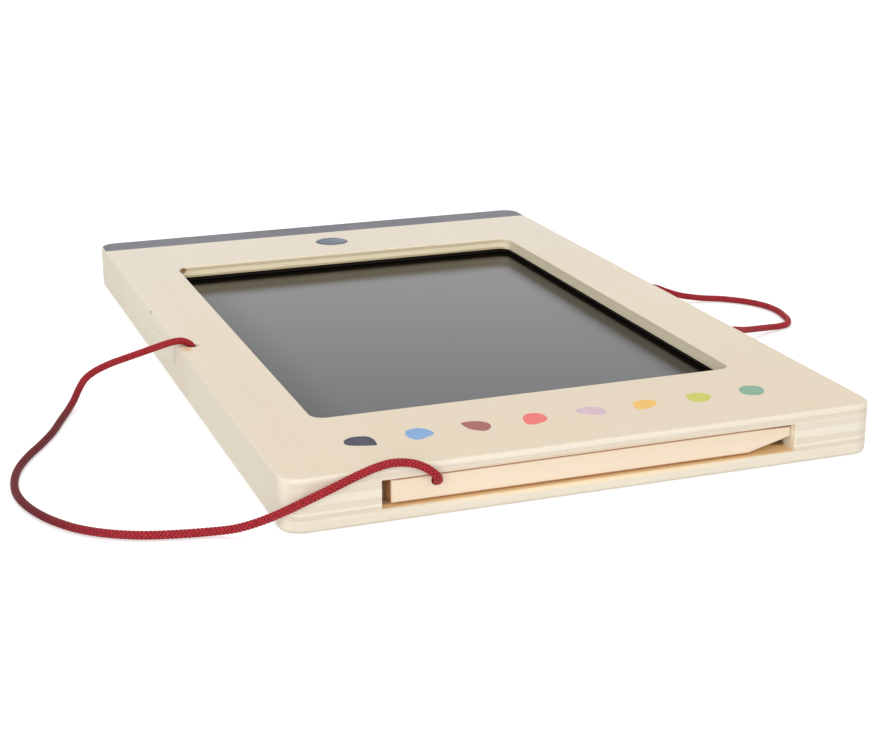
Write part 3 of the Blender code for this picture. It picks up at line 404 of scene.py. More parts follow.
class Painter:
    """Adds and joins the nodes of a material or of a node group."""

    def __init__(self, tree: bpy.types.NodeTree) -> None:
        """Works on one node tree."""
        self.tree = tree

    def node(self, kind: str, inputs: dict[Any, Any] | None = None, **settings: Any) -> bpy.types.Node:
        """Adds a node.

        Args:
            kind: The node's type, without its ShaderNode prefix.
            inputs: A value or another node's output for each named or numbered input.
            settings: The node's own properties.

        Returns:
            The node.
        """
        made = self.tree.nodes.new(f"ShaderNode{kind}")
        for key, value in settings.items():
            setattr(made, key, value)
        for key, value in (inputs or {}).items():
            self.join(value, made.inputs[key])
        return made

    def join(self, value: Any, socket: Socket) -> None:
        """Links an output to an input, or sets the input's own value.

        Args:
            value: Another node's output, or a plain value.
            socket: The input.
        """
        if isinstance(value, Socket):
            self.tree.links.new(value, socket)
        elif isinstance(value, tuple) and socket.type == "RGBA":
            socket.default_value = (*value, 1.0)
        else:
            socket.default_value = value

    def math(
        self, operation: str, first: Any, second: Any = 0.0, third: Any = 0.0, clamp: bool = False
    ) -> Socket:
        """The output of a Math node."""
        inputs = {0: first, 1: second, 2: third}
        return self.node("Math", inputs, operation=operation, use_clamp=clamp).outputs[0]

    def product(self, value: Any, *factors: Any) -> Socket:
        """Several values multiplied together.

        Args:
            value: The first value.
            factors: What it is multiplied by, in turn.

        Returns:
            The product.
        """
        for factor in factors:
            value = self.math("MULTIPLY", value, factor)
        return value

    def mix(self, factor: Any, first: Any, second: Any) -> Socket:
        """The colour between two colours."""
        return self.node("Mix", {0: factor, 6: first, 7: second}, data_type="RGBA").outputs[2]

    def layered(self, colour: Any, *layers: tuple[Any, Any]) -> Socket:
        """A colour with others laid over it in turn.

        Args:
            colour: The colour underneath.
            layers: How far each next colour covers, and that colour.

        Returns:
            The colour on top.
        """
        for share, over in layers:
            colour = self.mix(share, colour, over)
        return colour

    def blend(self, factor: Any, first: Any, second: Any) -> Socket:
        """The value between two values."""
        return self.node("Mix", {0: factor, 2: first, 3: second}, data_type="FLOAT").outputs[0]

    def between(self, value: Any, source: Pair, target: Pair = (0.0, 1.0)) -> Socket:
        """A value carried smoothly from one range into another.

        Args:
            value: The value.
            source: Start and end of its own range.
            target: What it becomes at the start and at the end.

        Returns:
            The carried value.
        """
        names = ("From Min", "From Max", "To Min", "To Max")
        inputs = {"Value": value, **dict(zip(names, (*source, *target)))}
        return self.node("MapRange", inputs, interpolation_type="SMOOTHSTEP").outputs["Result"]

    def noise(self, vector: Any, scale: Any = 1.0, detail: float = 2.0) -> Socket:
        """A noise value from 0 to 1."""
        return self.node("TexNoise", {"Vector": vector, "Scale": scale, "Detail": detail}).outputs["Fac"]

    def drawn(self, vector: Any, stretch: Point) -> Socket:
        """Coordinates multiplied along each axis, which draws a pattern out."""
        return self.node("VectorMath", {0: vector, 1: stretch}, operation="MULTIPLY").outputs[0]

    def length(self, vector: Any) -> Socket:
        """The length of a vector."""
        return self.node("VectorMath", {0: vector}, operation="LENGTH").outputs["Value"]

    def place(self) -> Socket:
        """The piece's own coordinates, in metres."""
        return self.node("TexCoord").outputs["Object"]

    def facing(self) -> Sockets:
        """The X, Y and Z of the direction that the surface faces."""
        return self.apart(self.node("NewGeometry").outputs["Normal"])

    def apart(self, vector: Any) -> Sockets:
        """The X, Y and Z of a vector."""
        return self.node("SeparateXYZ", {0: vector}).outputs

    def group(self, effect: Callable[..., dict[str, Socket]], **inputs: Any) -> Sockets:
        """Places an effect's node group, which is built the first time it is asked for.

        Args:
            effect: Adds the group's nodes with a painter, from its inputs, and gives its outputs.
            inputs: A value or another node's output for each of the group's inputs.

        Returns:
            The group's outputs.
        """
        tree = bpy.data.node_groups.get(effect.__name__)
        if tree is None:
            tree = bpy.data.node_groups.new(effect.__name__, "ShaderNodeTree")
            for key in inputs:
                kind = "Vector" if key == "Vector" else "Float"
                tree.interface.new_socket(key, in_out="INPUT", socket_type=f"NodeSocket{kind}")
            given = tree.nodes.new("NodeGroupInput").outputs
            result = tree.nodes.new("NodeGroupOutput").inputs
            paint = Painter(tree)
            for key, value in effect(paint, *(given[name] for name in inputs)).items():
                tree.interface.new_socket(key, in_out="OUTPUT", socket_type="NodeSocketFloat")
                paint.join(value, result[key])
        return self.node("Group", inputs, node_tree=tree).outputs

    def bump(self, height: Any, distance: float, strength: float = 1.0) -> Socket:
        """The normal of a relief."""
        made = self.node("Bump", {"Height": height, "Distance": distance, "Strength": strength})
        return made.outputs["Normal"]

    def surface(self, shader: Any, colour: Any, roughness: Any, normal: Any) -> None:
        """Joins a colour, a roughness and a normal to a shader.

        Args:
            shader: The shader's inputs.
            colour: The colour.
            roughness: The roughness.
            normal: The normal of the relief.
        """
        for key, value in (("Base Color", colour), ("Roughness", roughness), ("Normal", normal)):
            self.join(value, shader[key])


class Effects:
    """What several finishes share: each method adds the nodes of one node group."""

    FIGURE: Point = (95.0, 5.0, 95.0)
    FIBRE: Point = (1700.0, 22.0, 1700.0)
    FLECK: Point = (1250.0, 95.0, 1250.0)
    FLECK_EDGE: Pair = (0.66, 0.76)
    GRAIN_BENDS = 28.0
    GRAIN_SWAY = 12.0 * MM
    SMUDGE_EDGE: Pair = (0.35, 0.7)
    RUBS_PER_SMUDGE = 7.0
    GRIT_PER_CELL = 0.6
    MOTTLES_PER_CELL = 0.05
    DRAWN_LINES: Point = (300.0, 9000.0, 9000.0)
    TARNISH = 260.0

    @classmethod
    def wood_grain(cls, paint: Painter, vector: Any) -> dict[str, Socket]:
        """Grain that runs along Y: broad figure, fine fibres and short dark flecks.

        Args:
            paint: The group's painter.
            vector: The coordinates.

        Returns:
            The outputs.
        """
        wander = paint.noise(vector, cls.GRAIN_BENDS, detail=1.0)
        x, y, z = paint.apart(vector)[:3]
        bent = paint.math("ADD", x, paint.product(wander, cls.GRAIN_SWAY))
        swayed = paint.node("CombineXYZ", {0: bent, 1: y, 2: z}).outputs[0]
        flecks = paint.noise(paint.drawn(swayed, cls.FLECK), detail=1.0)
        return {
            "Figure": paint.noise(paint.drawn(swayed, cls.FIGURE), detail=3.0),
            "Fibre": paint.noise(paint.drawn(swayed, cls.FIBRE), detail=3.0),
            "Fleck": paint.between(flecks, cls.FLECK_EDGE),
        }

    @classmethod
    def handling(cls, paint: Painter, vector: Any, scale: Any) -> dict[str, Socket]:
        """Soft smudges and faint rubbed patches left by hands.

        Args:
            paint: The group's painter.
            vector: The coordinates.
            scale: Smudges to the metre.

        Returns:
            The output.
        """
        broad = paint.between(paint.noise(vector, scale, detail=3.0), cls.SMUDGE_EDGE)
        rubbed = paint.noise(vector, paint.product(scale, cls.RUBS_PER_SMUDGE), detail=4.0)
        return {"Smudge": paint.product(broad, rubbed)}

    @classmethod
    def moulded_skin(cls, paint: Painter, vector: Any, scale: Any) -> dict[str, Socket]:
        """The fine spark-eroded skin of a moulding.

        Args:
            paint: The group's painter.
            vector: The coordinates.
            scale: Cells of the skin to the metre.

        Returns:
            The outputs.
        """
        cells = paint.node("TexVoronoi", {"Vector": vector, "Scale": scale}).outputs["Distance"]
        grit = paint.noise(vector, paint.product(scale, cls.GRIT_PER_CELL), detail=3.0)
        mottle = paint.noise(vector, paint.product(scale, cls.MOTTLES_PER_CELL), detail=4.0)
        return {"Height": paint.math("ADD", cells, grit), "Mottle": mottle}

    @classmethod
    def brushed_metal(cls, paint: Painter, vector: Any) -> dict[str, Socket]:
        """Fine drawn lines along X, as on plated and rolled metal.

        Args:
            paint: The group's painter.
            vector: The coordinates.

        Returns:
            The outputs.
        """
        lines = paint.noise(paint.drawn(vector, cls.DRAWN_LINES))
        return {"Line": lines, "Tarnish": paint.noise(vector, cls.TARNISH, detail=4.0)}


@dataclass(frozen=True)
class Finish:
    """The start of every finish: a material's name, the record's slot that it stands for and its sheen."""

    name: str
    slot: Slot | None
    sheen: float = 0.5

    def material(self) -> bpy.types.Material:
        """The finish's material, made the first time it is asked for.

        Returns:
            The material.
        """
        found = bpy.data.materials.get(self.name)
        if found is None:
            found = bpy.data.materials.new(self.name)
            found.use_nodes = True
            shader = found.node_tree.nodes["Principled BSDF"].inputs
            shader["Specular IOR Level"].default_value = self.sheen
            self.paint(Painter(found.node_tree), shader)
        return found

    def paint(self, paint: Painter, shader: Any) -> None:
        """Joins the finish's nodes to the shader's inputs."""
        raise NotImplementedError


@dataclass(frozen=True)
class Ply:
    """One band on an edge, a veneer or a painted highlight on a rounded rim: its upper face in millimetres
    and its brightness, 0 to 1.
    """

    top: float
    tone: float


# Bands on the board's edges from the bottom up; the band below 1 mm and the band above 13.6 mm are painted
# highlights on the rounded rims
BOARD_PLIES_AND_RIM_HIGHLIGHTS = (
    Ply(1.0, 1.00),
    Ply(2.6, 0.75),
    Ply(3.5, 0.85),
    Ply(4.8, 0.22),
    Ply(5.6, 1.00),
    Ply(7.4, 0.40),
    Ply(9.6, 0.95),
    Ply(11.6, 0.50),
    Ply(12.1, 0.70),
    Ply(13.6, 0.32),
    Ply(15.0, 0.95),
)
WINDOW_PLIES = (Ply(11.75, 0.0), Ply(13.4, 1.0), Ply(14.5, 0.3), Ply(15.0, 0.9))


@dataclass(frozen=True)
class Mark:
    """A small stain, knot or crack, or a patch of painted shade or highlight: its middle and reach in
    millimetres, its colour and strength.
    """

    middle: Point
    reach: Point
    colour: Colour
    strength: float


BOARD_MARKS_AND_PAINTED_LIGHT = (
    # Painted shadow of the tether beside its hole, warm with light bounced off the red cord
    Mark((-84.2, -13.8, 15.0), (2.0, 3.4, 1.4), display(220, 172, 112), 0.75),
    Mark((-86.3, -6.2, 12.3), (1.5, 2.1, 2.6), display(168, 160, 144), 0.38),
    Mark((-86.3, -3.8, 8.6), (1.5, 3.0, 2.4), display(168, 160, 144), 0.34),
    Mark((-86.4, 33.0, 14.5), (1.2, 1.4, 0.9), display(128, 92, 58), 0.6),
    Mark((-86.3, 20.1, 11.3), (1.0, 0.8, 0.6), display(128, 92, 58), 0.45),
    # Painted shadow line on the front edge just over the stylus slot
    Mark((0.1, -134.2, 12.0), (62.0, 1.5, 0.6), display(198, 158, 108), 0.35),
    # Painted highlight on the slot's rounded lip
    Mark((0.1, -134.2, 3.35), (62.0, 1.6, 0.8), display(240, 216, 178), 0.75),
    # Painted light on the slot's right end wall
    Mark((60.5, -132.6, 7.6), (0.8, 2.6, 4.6), display(255, 246, 222), 0.7),
    # Painted shade in the slot's deep corner under the stylus tip
    Mark((60.2, -126.4, 3.9), (5.0, 3.2, 2.2), display(112, 68, 30), 0.75),
    # Painted shade on the slot floor under the stylus's left end
    Mark((-58.0, -128.6, 3.4), (3.2, 4.2, 1.2), display(104, 62, 26), 0.75),
)
CORNER_MARKS = (Mark((-64.3, 86.2, 13.9), (2.6, 2.2, 1.4), display(132, 84, 40), 0.8),)


@dataclass(frozen=True)
class PlywoodFinish(Finish):
    """Pale lacquered plywood: veneer on its faces, plies on its edges and a stripe at the far edge."""

    plies: tuple[Ply, ...] = BOARD_PLIES_AND_RIM_HIGHLIGHTS
    marks: tuple[Mark, ...] = BOARD_MARKS_AND_PAINTED_LIGHT
    face_light: Colour = display(232, 220, 200)
    face_dark: Colour = display(229, 216, 195)
    face_near: Colour = display(222, 203, 175)
    # Paler, cooler veneer towards the far edge: a painted sheen
    face_far_painted_sheen: Colour = display(234, 226, 213)
    edge_light: Colour = display(226, 218, 201)
    edge_dark: Colour = display(209, 196, 176)
    side: Colour = display(240, 230, 211)
    fleck: Colour = display(190, 162, 124)
    # Painted light in the stylus slot: a pale highlight on the rounded lip and warm bounce light on the floor
    slot_lip_painted_highlight: Colour = display(248, 228, 188)
    slot_floor_painted_bounce: Colour = display(248, 210, 152)
    stripe: Colour = display(113, 112, 120)
    fibre_range: Pair = (0.25, 0.75)
    fibre_share: float = 0.04
    fleck_share: float = 0.05
    near_share: float = 0.45
    near_end: float = 20.0 * MM
    far_sheen_share: float = 0.6
    side_calm: float = 0.85
    flat_turn: Pair = (0.6, 0.9)
    side_turn: Pair = (0.5, 0.9)
    slot_top: Pair = (4.1, 4.3)
    slot_turn: Pair = (0.0, 0.12)
    lip_turn: Pair = (0.0, 0.65)
    slot_streak: Pair = (0.3, 0.8)
    slot_streak_share: float = 0.1
    stripe_front: Pair = (121.25 * MM, 121.55 * MM)
    stripe_bottom: Pair = (14.0 * MM, 14.4 * MM)
    stripe_turn: Pair = (0.3, 0.5)
    stripe_wear: Pair = (0.4, 0.9)
    stripe_wear_share: float = 0.06
    ply_blur: float = 0.14
    ply_bends: float = 55.0
    ply_sway: float = 0.25
    pores: float = 2400.0
    pore_tone: Pair = (-0.05, 0.05)
    streaks: Point = (70.0, 70.0, 2600.0)
    streak_range: Pair = (0.25, 0.75)
    streak_tone: Pair = (-0.12, 0.12)
    ragged: float = 700.0
    ragged_share: float = 0.7
    mark_rim: Pair = (0.7, 1.4)
    smudges: float = 22.0
    roughness: Pair = (0.62, 0.52)
    relief: float = 0.012 * MM
    sheen: float = 0.35

    def veneer(self, paint: Painter, y: Any, grain: Any) -> Socket:
        """The faces: pale figure and fibres, warmer at the front and paler and cooler at the far edge, where
        a sheen is painted.

        Args:
            paint: The material's painter.
            y: The place from front to back.
            grain: The outputs of the wood grain.

        Returns:
            The faces' colour.
        """
        figure = paint.mix(paint.between(grain["Figure"], NOISE), self.face_dark, self.face_light)
        return paint.layered(
            figure,
            (paint.between(y, (-FACE.high.y, self.near_end), (self.near_share, 0.0)), self.face_near),
            (paint.between(y, (0.0, FACE.high.y), (0.0, self.far_sheen_share)), self.face_far_painted_sheen),
            (paint.between(grain["Fibre"], self.fibre_range, (0.0, self.fibre_share)), self.fleck),
            (paint.product(grain["Fleck"], self.fleck_share), self.fleck),
        )

    def edge_tone(self, paint: Painter, place: Any, height: Any) -> Socket:
        """Brightness of the plies, and of any painted rim highlights among them, by height, soft and a little
        wavy along their length.

        Args:
            paint: The material's painter.
            place: The piece's own coordinates.
            height: Height in millimetres.

        Returns:
            The brightness.
        """
        thickness = FACE.high.z / MM
        bends = paint.noise(place, self.ply_bends)
        sway = paint.math("MULTIPLY_ADD", bends, 2 * self.ply_sway, -self.ply_sway)
        level = paint.math("DIVIDE", paint.math("ADD", height, sway), thickness)
        ramp = paint.node("ValToRGB", {"Fac": level}).outputs[0]
        stops = ramp.node.color_ramp.elements
        bottom = 0.0
        for ply in self.plies:
            for share in (bottom + self.ply_blur, ply.top - self.ply_blur):
                stop = stops.new(share / thickness)
                stop.color = (ply.tone, ply.tone, ply.tone, 1.0)
            bottom = ply.top
        stops.remove(stops[0])
        stops.remove(stops[-1])
        return ramp

    def edge(self, paint: Painter, place: Any, height: Any, sideways: Any, streak: Any) -> Socket:
        """The cut edge: plies with faint streaks and pores, calmer on the two long sides.

        Args:
            paint: The material's painter.
            place: The piece's own coordinates.
            height: Height in millimetres.
            sideways: 1 on faces that look along X.
            streak: A pattern drawn out along the plies.

        Returns:
            The edge's colour.
        """
        tone = self.edge_tone(paint, place, height)
        pores = paint.noise(place, self.pores)
        tone = paint.math("ADD", tone, paint.between(streak, self.streak_range, self.streak_tone))
        tone = paint.math("ADD", tone, paint.between(pores, NOISE, self.pore_tone), clamp=True)
        plies = paint.mix(tone, self.edge_dark, self.edge_light)
        return paint.mix(paint.product(sideways, self.side_calm), plies, self.side)

    def slot_painted_light(self, paint: Painter, upward: Any, streak: Any) -> Socket:
        """Painted light in the stylus slot: warm bounce light on its floor and a pale highlight on its lip.

        Args:
            paint: The material's painter.
            upward: How far the surface faces up.
            streak: A pattern drawn out along the plies.

        Returns:
            The slot's colour.
        """
        floor = paint.mix(paint.between(upward, self.lip_turn), self.slot_lip_painted_highlight, self.slot_floor_painted_bounce)
        share = paint.between(streak, self.slot_streak, (0.0, self.slot_streak_share))
        return paint.mix(share, floor, self.fleck)

    def striped(self, paint: Painter, y: Any, z: Any, sidelong: Any) -> Socket:
        """Where the stripe is printed: on the face near the far edge and over the rim.

        Args:
            paint: The material's painter.
            y: The place from front to back.
            z: The height.
            sidelong: How far the surface faces left or right.

        Returns:
            1 on the stripe and 0 off it.
        """
        return paint.product(
            paint.between(y, self.stripe_front),
            paint.between(z, self.stripe_bottom),
            paint.between(sidelong, self.stripe_turn, FALL),
        )

    def marked(self, paint: Painter, place: Any, wood: Any) -> Socket:
        """The wood with its small marks, some of them patches of painted shade and highlight.

        Args:
            paint: The material's painter.
            place: The piece's own coordinates.
            wood: The wood's colour.

        Returns:
            The marked wood's colour.
        """
        ragged = paint.product(paint.noise(place, self.ragged), self.ragged_share)
        for mark in self.marks:
            middle = tuple(value * MM for value in mark.middle)
            offset = paint.node("VectorMath", {0: place, 1: middle}, operation="SUBTRACT").outputs[0]
            away = paint.length(paint.drawn(offset, tuple(1 / (value * MM) for value in mark.reach)))
            share = paint.between(paint.math("ADD", away, ragged), self.mark_rim, (mark.strength, 0.0))
            wood = paint.mix(share, wood, mark.colour)
        return wood

    def paint(self, paint: Painter, shader: Any) -> None:
        """Joins the veneer with its painted sheen, the plies, the slot's painted light, the stripe and the
        marks to the shader.

        Args:
            paint: The material's painter.
            shader: The shader's inputs.
        """
        place = paint.place()
        y, z = paint.apart(place)[1:3]
        height = paint.product(z, 1 / MM)
        facing = paint.facing()
        sidelong = paint.math("ABSOLUTE", facing[0])
        flat = paint.between(paint.math("ABSOLUTE", facing[2]), self.flat_turn)
        grain = paint.group(Effects.wood_grain, Vector=place)
        streak = paint.noise(paint.drawn(place, self.streaks), detail=3.0)
        # Where the slot's painted light lies: on its floor and its rounded lip
        in_slot = paint.product(
            paint.between(facing[2], self.slot_turn), paint.between(height, self.slot_top, FALL)
        )
        wear = paint.between(grain["Fibre"], self.stripe_wear, (0.0, self.stripe_wear_share))
        wood = paint.layered(
            self.edge(paint, place, height, paint.between(sidelong, self.side_turn), streak),
            (flat, self.veneer(paint, y, grain)),
            (in_slot, self.slot_painted_light(paint, facing[2], streak)),
            (self.striped(paint, y, z, sidelong), paint.mix(wear, self.stripe, self.face_dark)),
        )
        smudge = paint.group(Effects.handling, Vector=place, Scale=self.smudges)["Smudge"]
        on_edges = paint.product(streak, paint.math("SUBTRACT", 1.0, flat))
        paint.surface(
            shader,
            self.marked(paint, place, wood),
            paint.between(smudge, SMUDGE, self.roughness),
            paint.bump(paint.math("ADD", grain["Fibre"], on_edges), self.relief, strength=0.5),
        )


@dataclass(frozen=True)
class StylusWoodFinish(Finish):
    """Sanded close-grained hardwood: grain along the stick, painted shade on its long rounded edges, and a
    blunt end of dark end grain with painted shade over it.
    """

    light: Colour = display(230, 213, 190)
    dark: Colour = display(224, 205, 180)
    fleck: Colour = display(190, 152, 110)
    # The blunt end: dark end grain, deepened with painted shade from the narrow slot
    end_grain_and_shade: Colour = display(186, 132, 86)
    # Painted shade on the long rounded edges, where the slot's roof and floor shade them
    painted_shade: Colour = display(150, 86, 22)
    fibre_range: Pair = (0.25, 0.8)
    fibre_share: float = 0.12
    fleck_share: float = 0.1
    painted_shade_turn: Pair = (0.1, 0.5)
    painted_shade_share: float = 0.8
    end_turn: Pair = (-1.0, -0.85)
    smudges: float = 60.0
    roughness: Pair = (0.58, 0.46)
    relief: float = 0.015 * MM
    sheen: float = 0.35

    def paint(self, paint: Painter, shader: Any) -> None:
        """Joins the grain, the painted shade on the rounded edges and the end grain with its painted shade to
        the shader.

        Args:
            paint: The material's painter.
            shader: The shader's inputs.
        """
        place = paint.place()
        turned = paint.node("Mapping", {"Vector": place, "Rotation": (0.0, 0.0, math.pi / 2)}).outputs[0]
        grain = paint.group(Effects.wood_grain, Vector=turned)
        facing = paint.facing()
        corner = paint.math("ABSOLUTE", paint.product(facing[1], facing[2]))
        wood = paint.layered(
            paint.mix(paint.between(grain["Figure"], NOISE), self.dark, self.light),
            (paint.between(grain["Fibre"], self.fibre_range, (0.0, self.fibre_share)), self.dark),
            (paint.product(grain["Fleck"], self.fleck_share), self.fleck),
            (paint.between(corner, self.painted_shade_turn, (0.0, self.painted_shade_share)), self.painted_shade),
            (paint.between(facing[0], self.end_turn, FALL), self.end_grain_and_shade),
        )
        smudge = paint.group(Effects.handling, Vector=place, Scale=self.smudges)["Smudge"]
        roughness = paint.between(smudge, SMUDGE, self.roughness)
        paint.surface(shader, wood, roughness, paint.bump(grain["Fibre"], self.relief, strength=0.5))


@dataclass(frozen=True)
class WritingFilmFinish(Finish):
    """The dark satin film that is written on, with faint smudges and a clear coat that thins at the walls
    over a dark brown base: painted shade that dims the film beside the walls.
    """

    dark: Colour = display(6, 13, 26)
    worn: Colour = display(13, 21, 36)
    # Dark brown base where the coat thins beside the walls: painted shade
    rim: Colour = display(14, 11, 7)
    worn_range: Pair = (0.1, 0.6)
    roughness: Pair = (0.14, 0.18)
    film_index: float = 1.27
    coat_index: float = 1.18
    coat_roughness: float = 0.15
    far_rim: Pair = (59.0 * MM, 73.0 * MM)
    right_rim: Pair = (50.0 * MM, 59.0 * MM)
    left_rim: Pair = (-64.0 * MM, -46.0 * MM)
    left_coat: Pair = (0.5, 1.0)
    smudges: float = 16.0
    grit: float = 5200.0
    relief: float = 0.002 * MM

    def coat_with_painted_shade(self, paint: Painter, place: Any) -> Socket:
        """The clear coat: full in the middle, half at the left and none at the far and right walls, where it
        dims the reflection as painted shade.

        Args:
            paint: The material's painter.
            place: The piece's own coordinates.

        Returns:
            How thick the coat is, 0 to 1.
        """
        x, y = paint.apart(place)[:2]
        return paint.product(
            paint.between(x, self.left_rim, self.left_coat),
            paint.between(x, self.right_rim, FALL),
            paint.between(y, self.far_rim, FALL),
        )

    def paint(self, paint: Painter, shader: Any) -> None:
        """Joins the smudges, the fine grit and the coat with its painted shade to the shader.

        Args:
            paint: The material's painter.
            shader: The shader's inputs.
        """
        place = paint.place()
        smudge = paint.group(Effects.handling, Vector=place, Scale=self.smudges)["Smudge"]
        film = paint.mix(paint.between(smudge, self.worn_range), self.dark, self.worn)
        coat = self.coat_with_painted_shade(paint, place)
        paint.surface(
            shader,
            paint.mix(coat, self.rim, film),
            paint.between(smudge, SMUDGE, self.roughness),
            paint.bump(paint.noise(place, self.grit, detail=1.0), self.relief, strength=0.4),
        )
        paint.join(coat, shader["Coat Weight"])
        shader["IOR"].default_value = self.film_index
        shader["Coat IOR"].default_value = self.coat_index
        shader["Coat Roughness"].default_value = self.coat_roughness


@dataclass(frozen=True)
class FoamFinish(Finish):
    """Black closed-cell foam."""

    colour: Colour = display(13, 11, 7)
    cell_edge: Colour = display(26, 22, 15)
    cells: float = 2600.0
    cell_walls: Pair = (0.5, 1.2)
    roughness: Pair = (0.85, 0.98)
    relief: float = 0.08 * MM
    sheen: float = 0.2

    def paint(self, paint: Painter, shader: Any) -> None:
        """Joins the cells to the shader.

        Args:
            paint: The material's painter.
            shader: The shader's inputs.
        """
        skin = paint.group(Effects.moulded_skin, Vector=paint.place(), Scale=self.cells)
        paint.surface(
            shader,
            paint.mix(paint.between(skin["Height"], self.cell_walls), self.colour, self.cell_edge),
            paint.between(skin["Mottle"], NOISE, self.roughness),
            paint.bump(skin["Height"], self.relief),
        )


@dataclass(frozen=True)
class MouldedFinish(Finish):
    """Moulded plastic with a fine skin and rubbed patches."""

    colour: Colour = display(40, 40, 42)
    rubbed: Colour = display(58, 58, 60)
    roughness: Pair = (0.51, 0.37)
    grain: float = 5200.0
    smudges: float = 120.0
    relief: float = 0.012 * MM

    def paint(self, paint: Painter, shader: Any) -> None:
        """Joins the skin and the rubbed patches to the shader.

        Args:
            paint: The material's painter.
            shader: The shader's inputs.
        """
        place = paint.place()
        skin = paint.group(Effects.moulded_skin, Vector=place, Scale=self.grain)
        smudge = paint.group(Effects.handling, Vector=place, Scale=self.smudges)["Smudge"]
        paint.surface(
            shader,
            paint.mix(paint.between(skin["Mottle"], NOISE), self.colour, self.rubbed),
            paint.between(smudge, SMUDGE, self.roughness),
            paint.bump(skin["Height"], self.relief, strength=0.5),
        )


@dataclass(frozen=True)
class CapFinish(MouldedFinish):
    """Moulded plastic with painted shade on its rounded rim."""

    # Painted shade on the rounded rim, where the surface turns away from straight up
    rim: Colour = display(70, 73, 78)
    shaded_rim_turn: Pair = (0.6, 0.97)

    def paint(self, paint: Painter, shader: Any) -> None:
        """Joins the moulded skin and the rim's painted shade to the shader.

        Args:
            paint: The material's painter.
            shader: The shader's inputs.
        """
        super().paint(paint, shader)
        face = shader["Base Color"].links[0].from_socket
        upward = paint.between(paint.facing()[2], self.shaded_rim_turn)
        paint.join(paint.mix(upward, self.rim, face), shader["Base Color"])


@dataclass(frozen=True)
class MetalFinish(Finish):
    """Plated or rolled metal with drawn lines and a little tarnish."""

    colour: Colour = display(196, 196, 198)
    tarnish: Colour = display(150, 148, 145)
    tarnish_range: Pair = (0.45, 0.8)
    roughness: Pair = (0.22, 0.38)
    relief: float = 0.004 * MM

    def paint(self, paint: Painter, shader: Any) -> None:
        """Joins the drawn lines and the tarnish to the shader.

        Args:
            paint: The material's painter.
            shader: The shader's inputs.
        """
        lines = paint.group(Effects.brushed_metal, Vector=paint.place())
        paint.surface(
            shader,
            paint.mix(paint.between(lines["Tarnish"], self.tarnish_range), self.colour, self.tarnish),
            paint.between(lines["Line"], NOISE, self.roughness),
            paint.bump(lines["Line"], self.relief, strength=0.5),
        )
        shader["Metallic"].default_value = 1.0


@dataclass(frozen=True)
class SolderMaskFinish(Finish):
    """A circuit board's green mask with its copper runs showing through."""

    mask: Colour = display(16, 92, 52)
    over_copper: Colour = display(34, 128, 72)
    runs: float = 260.0
    run_width: float = 0.12
    grain: float = 4000.0
    roughness: Pair = (0.3, 0.42)
    relief: float = 0.03 * MM

    def paint(self, paint: Painter, shader: Any) -> None:
        """Joins the copper runs to the shader.

        Args:
            paint: The material's painter.
            shader: The shader's inputs.
        """
        place = paint.place()
        bare, covered = (0.0, 0.0, 0.0), (1.0, 1.0, 1.0)
        inputs = {"Vector": place, "Scale": self.runs, "Mortar Size": self.run_width}
        runs = paint.node("TexBrick", inputs | {"Color1": bare, "Color2": bare, "Mortar": covered}).outputs
        skin = paint.group(Effects.moulded_skin, Vector=place, Scale=self.grain)
        paint.surface(
            shader,
            paint.mix(runs["Color"], self.mask, self.over_copper),
            paint.between(skin["Mottle"], NOISE, self.roughness),
            paint.bump(runs["Fac"], self.relief),
        )


@dataclass(frozen=True)
class AmberFilmFinish(Finish):
    """Flat cable film with its conductors showing as lines along Y."""

    film: Colour = display(190, 122, 40)
    conductor: Colour = display(150, 84, 30)
    pitch: float = 0.5 * MM
    run_edge: Pair = (0.18, 0.3)
    roughness: Pair = (0.28, 0.36)
    relief: float = 0.03 * MM

    def paint(self, paint: Painter, shader: Any) -> None:
        """Joins the conductors to the shader.

        Args:
            paint: The material's painter.
            shader: The shader's inputs.
        """
        x = paint.apart(paint.place())[0]
        line = paint.math("PINGPONG", paint.math("DIVIDE", x, self.pitch), 0.5)
        run = paint.between(line, self.run_edge)
        colour = paint.mix(run, self.film, self.conductor)
        roughness = paint.between(run, (0.0, 1.0), self.roughness)
        paint.surface(shader, colour, roughness, paint.bump(run, self.relief))


@dataclass(frozen=True)
class InkFinish(Finish):
    """Screen-printed ink that has sunk a little into the veneer."""

    colour: Colour = (0.5, 0.5, 0.5)
    sunk: float = 0.95
    sunk_range: Pair = (0.35, 0.7)
    fibre_range: Pair = (0.2, 0.8)
    roughness: Pair = (0.5, 0.62)
    relief: float = 0.02 * MM
    sheen: float = 0.35

    def paint(self, paint: Painter, shader: Any) -> None:
        """Joins the sunk fibres to the shader.

        Args:
            paint: The material's painter.
            shader: The shader's inputs.
        """
        fibre = paint.group(Effects.wood_grain, Vector=paint.place())["Fibre"]
        deeper = tuple(self.sunk * level for level in self.colour)
        colour = paint.mix(paint.between(fibre, self.sunk_range), self.colour, deeper)
        roughness = paint.between(fibre, self.fibre_range, self.roughness)
        paint.surface(shader, colour, roughness, paint.bump(fibre, self.relief, strength=0.5))


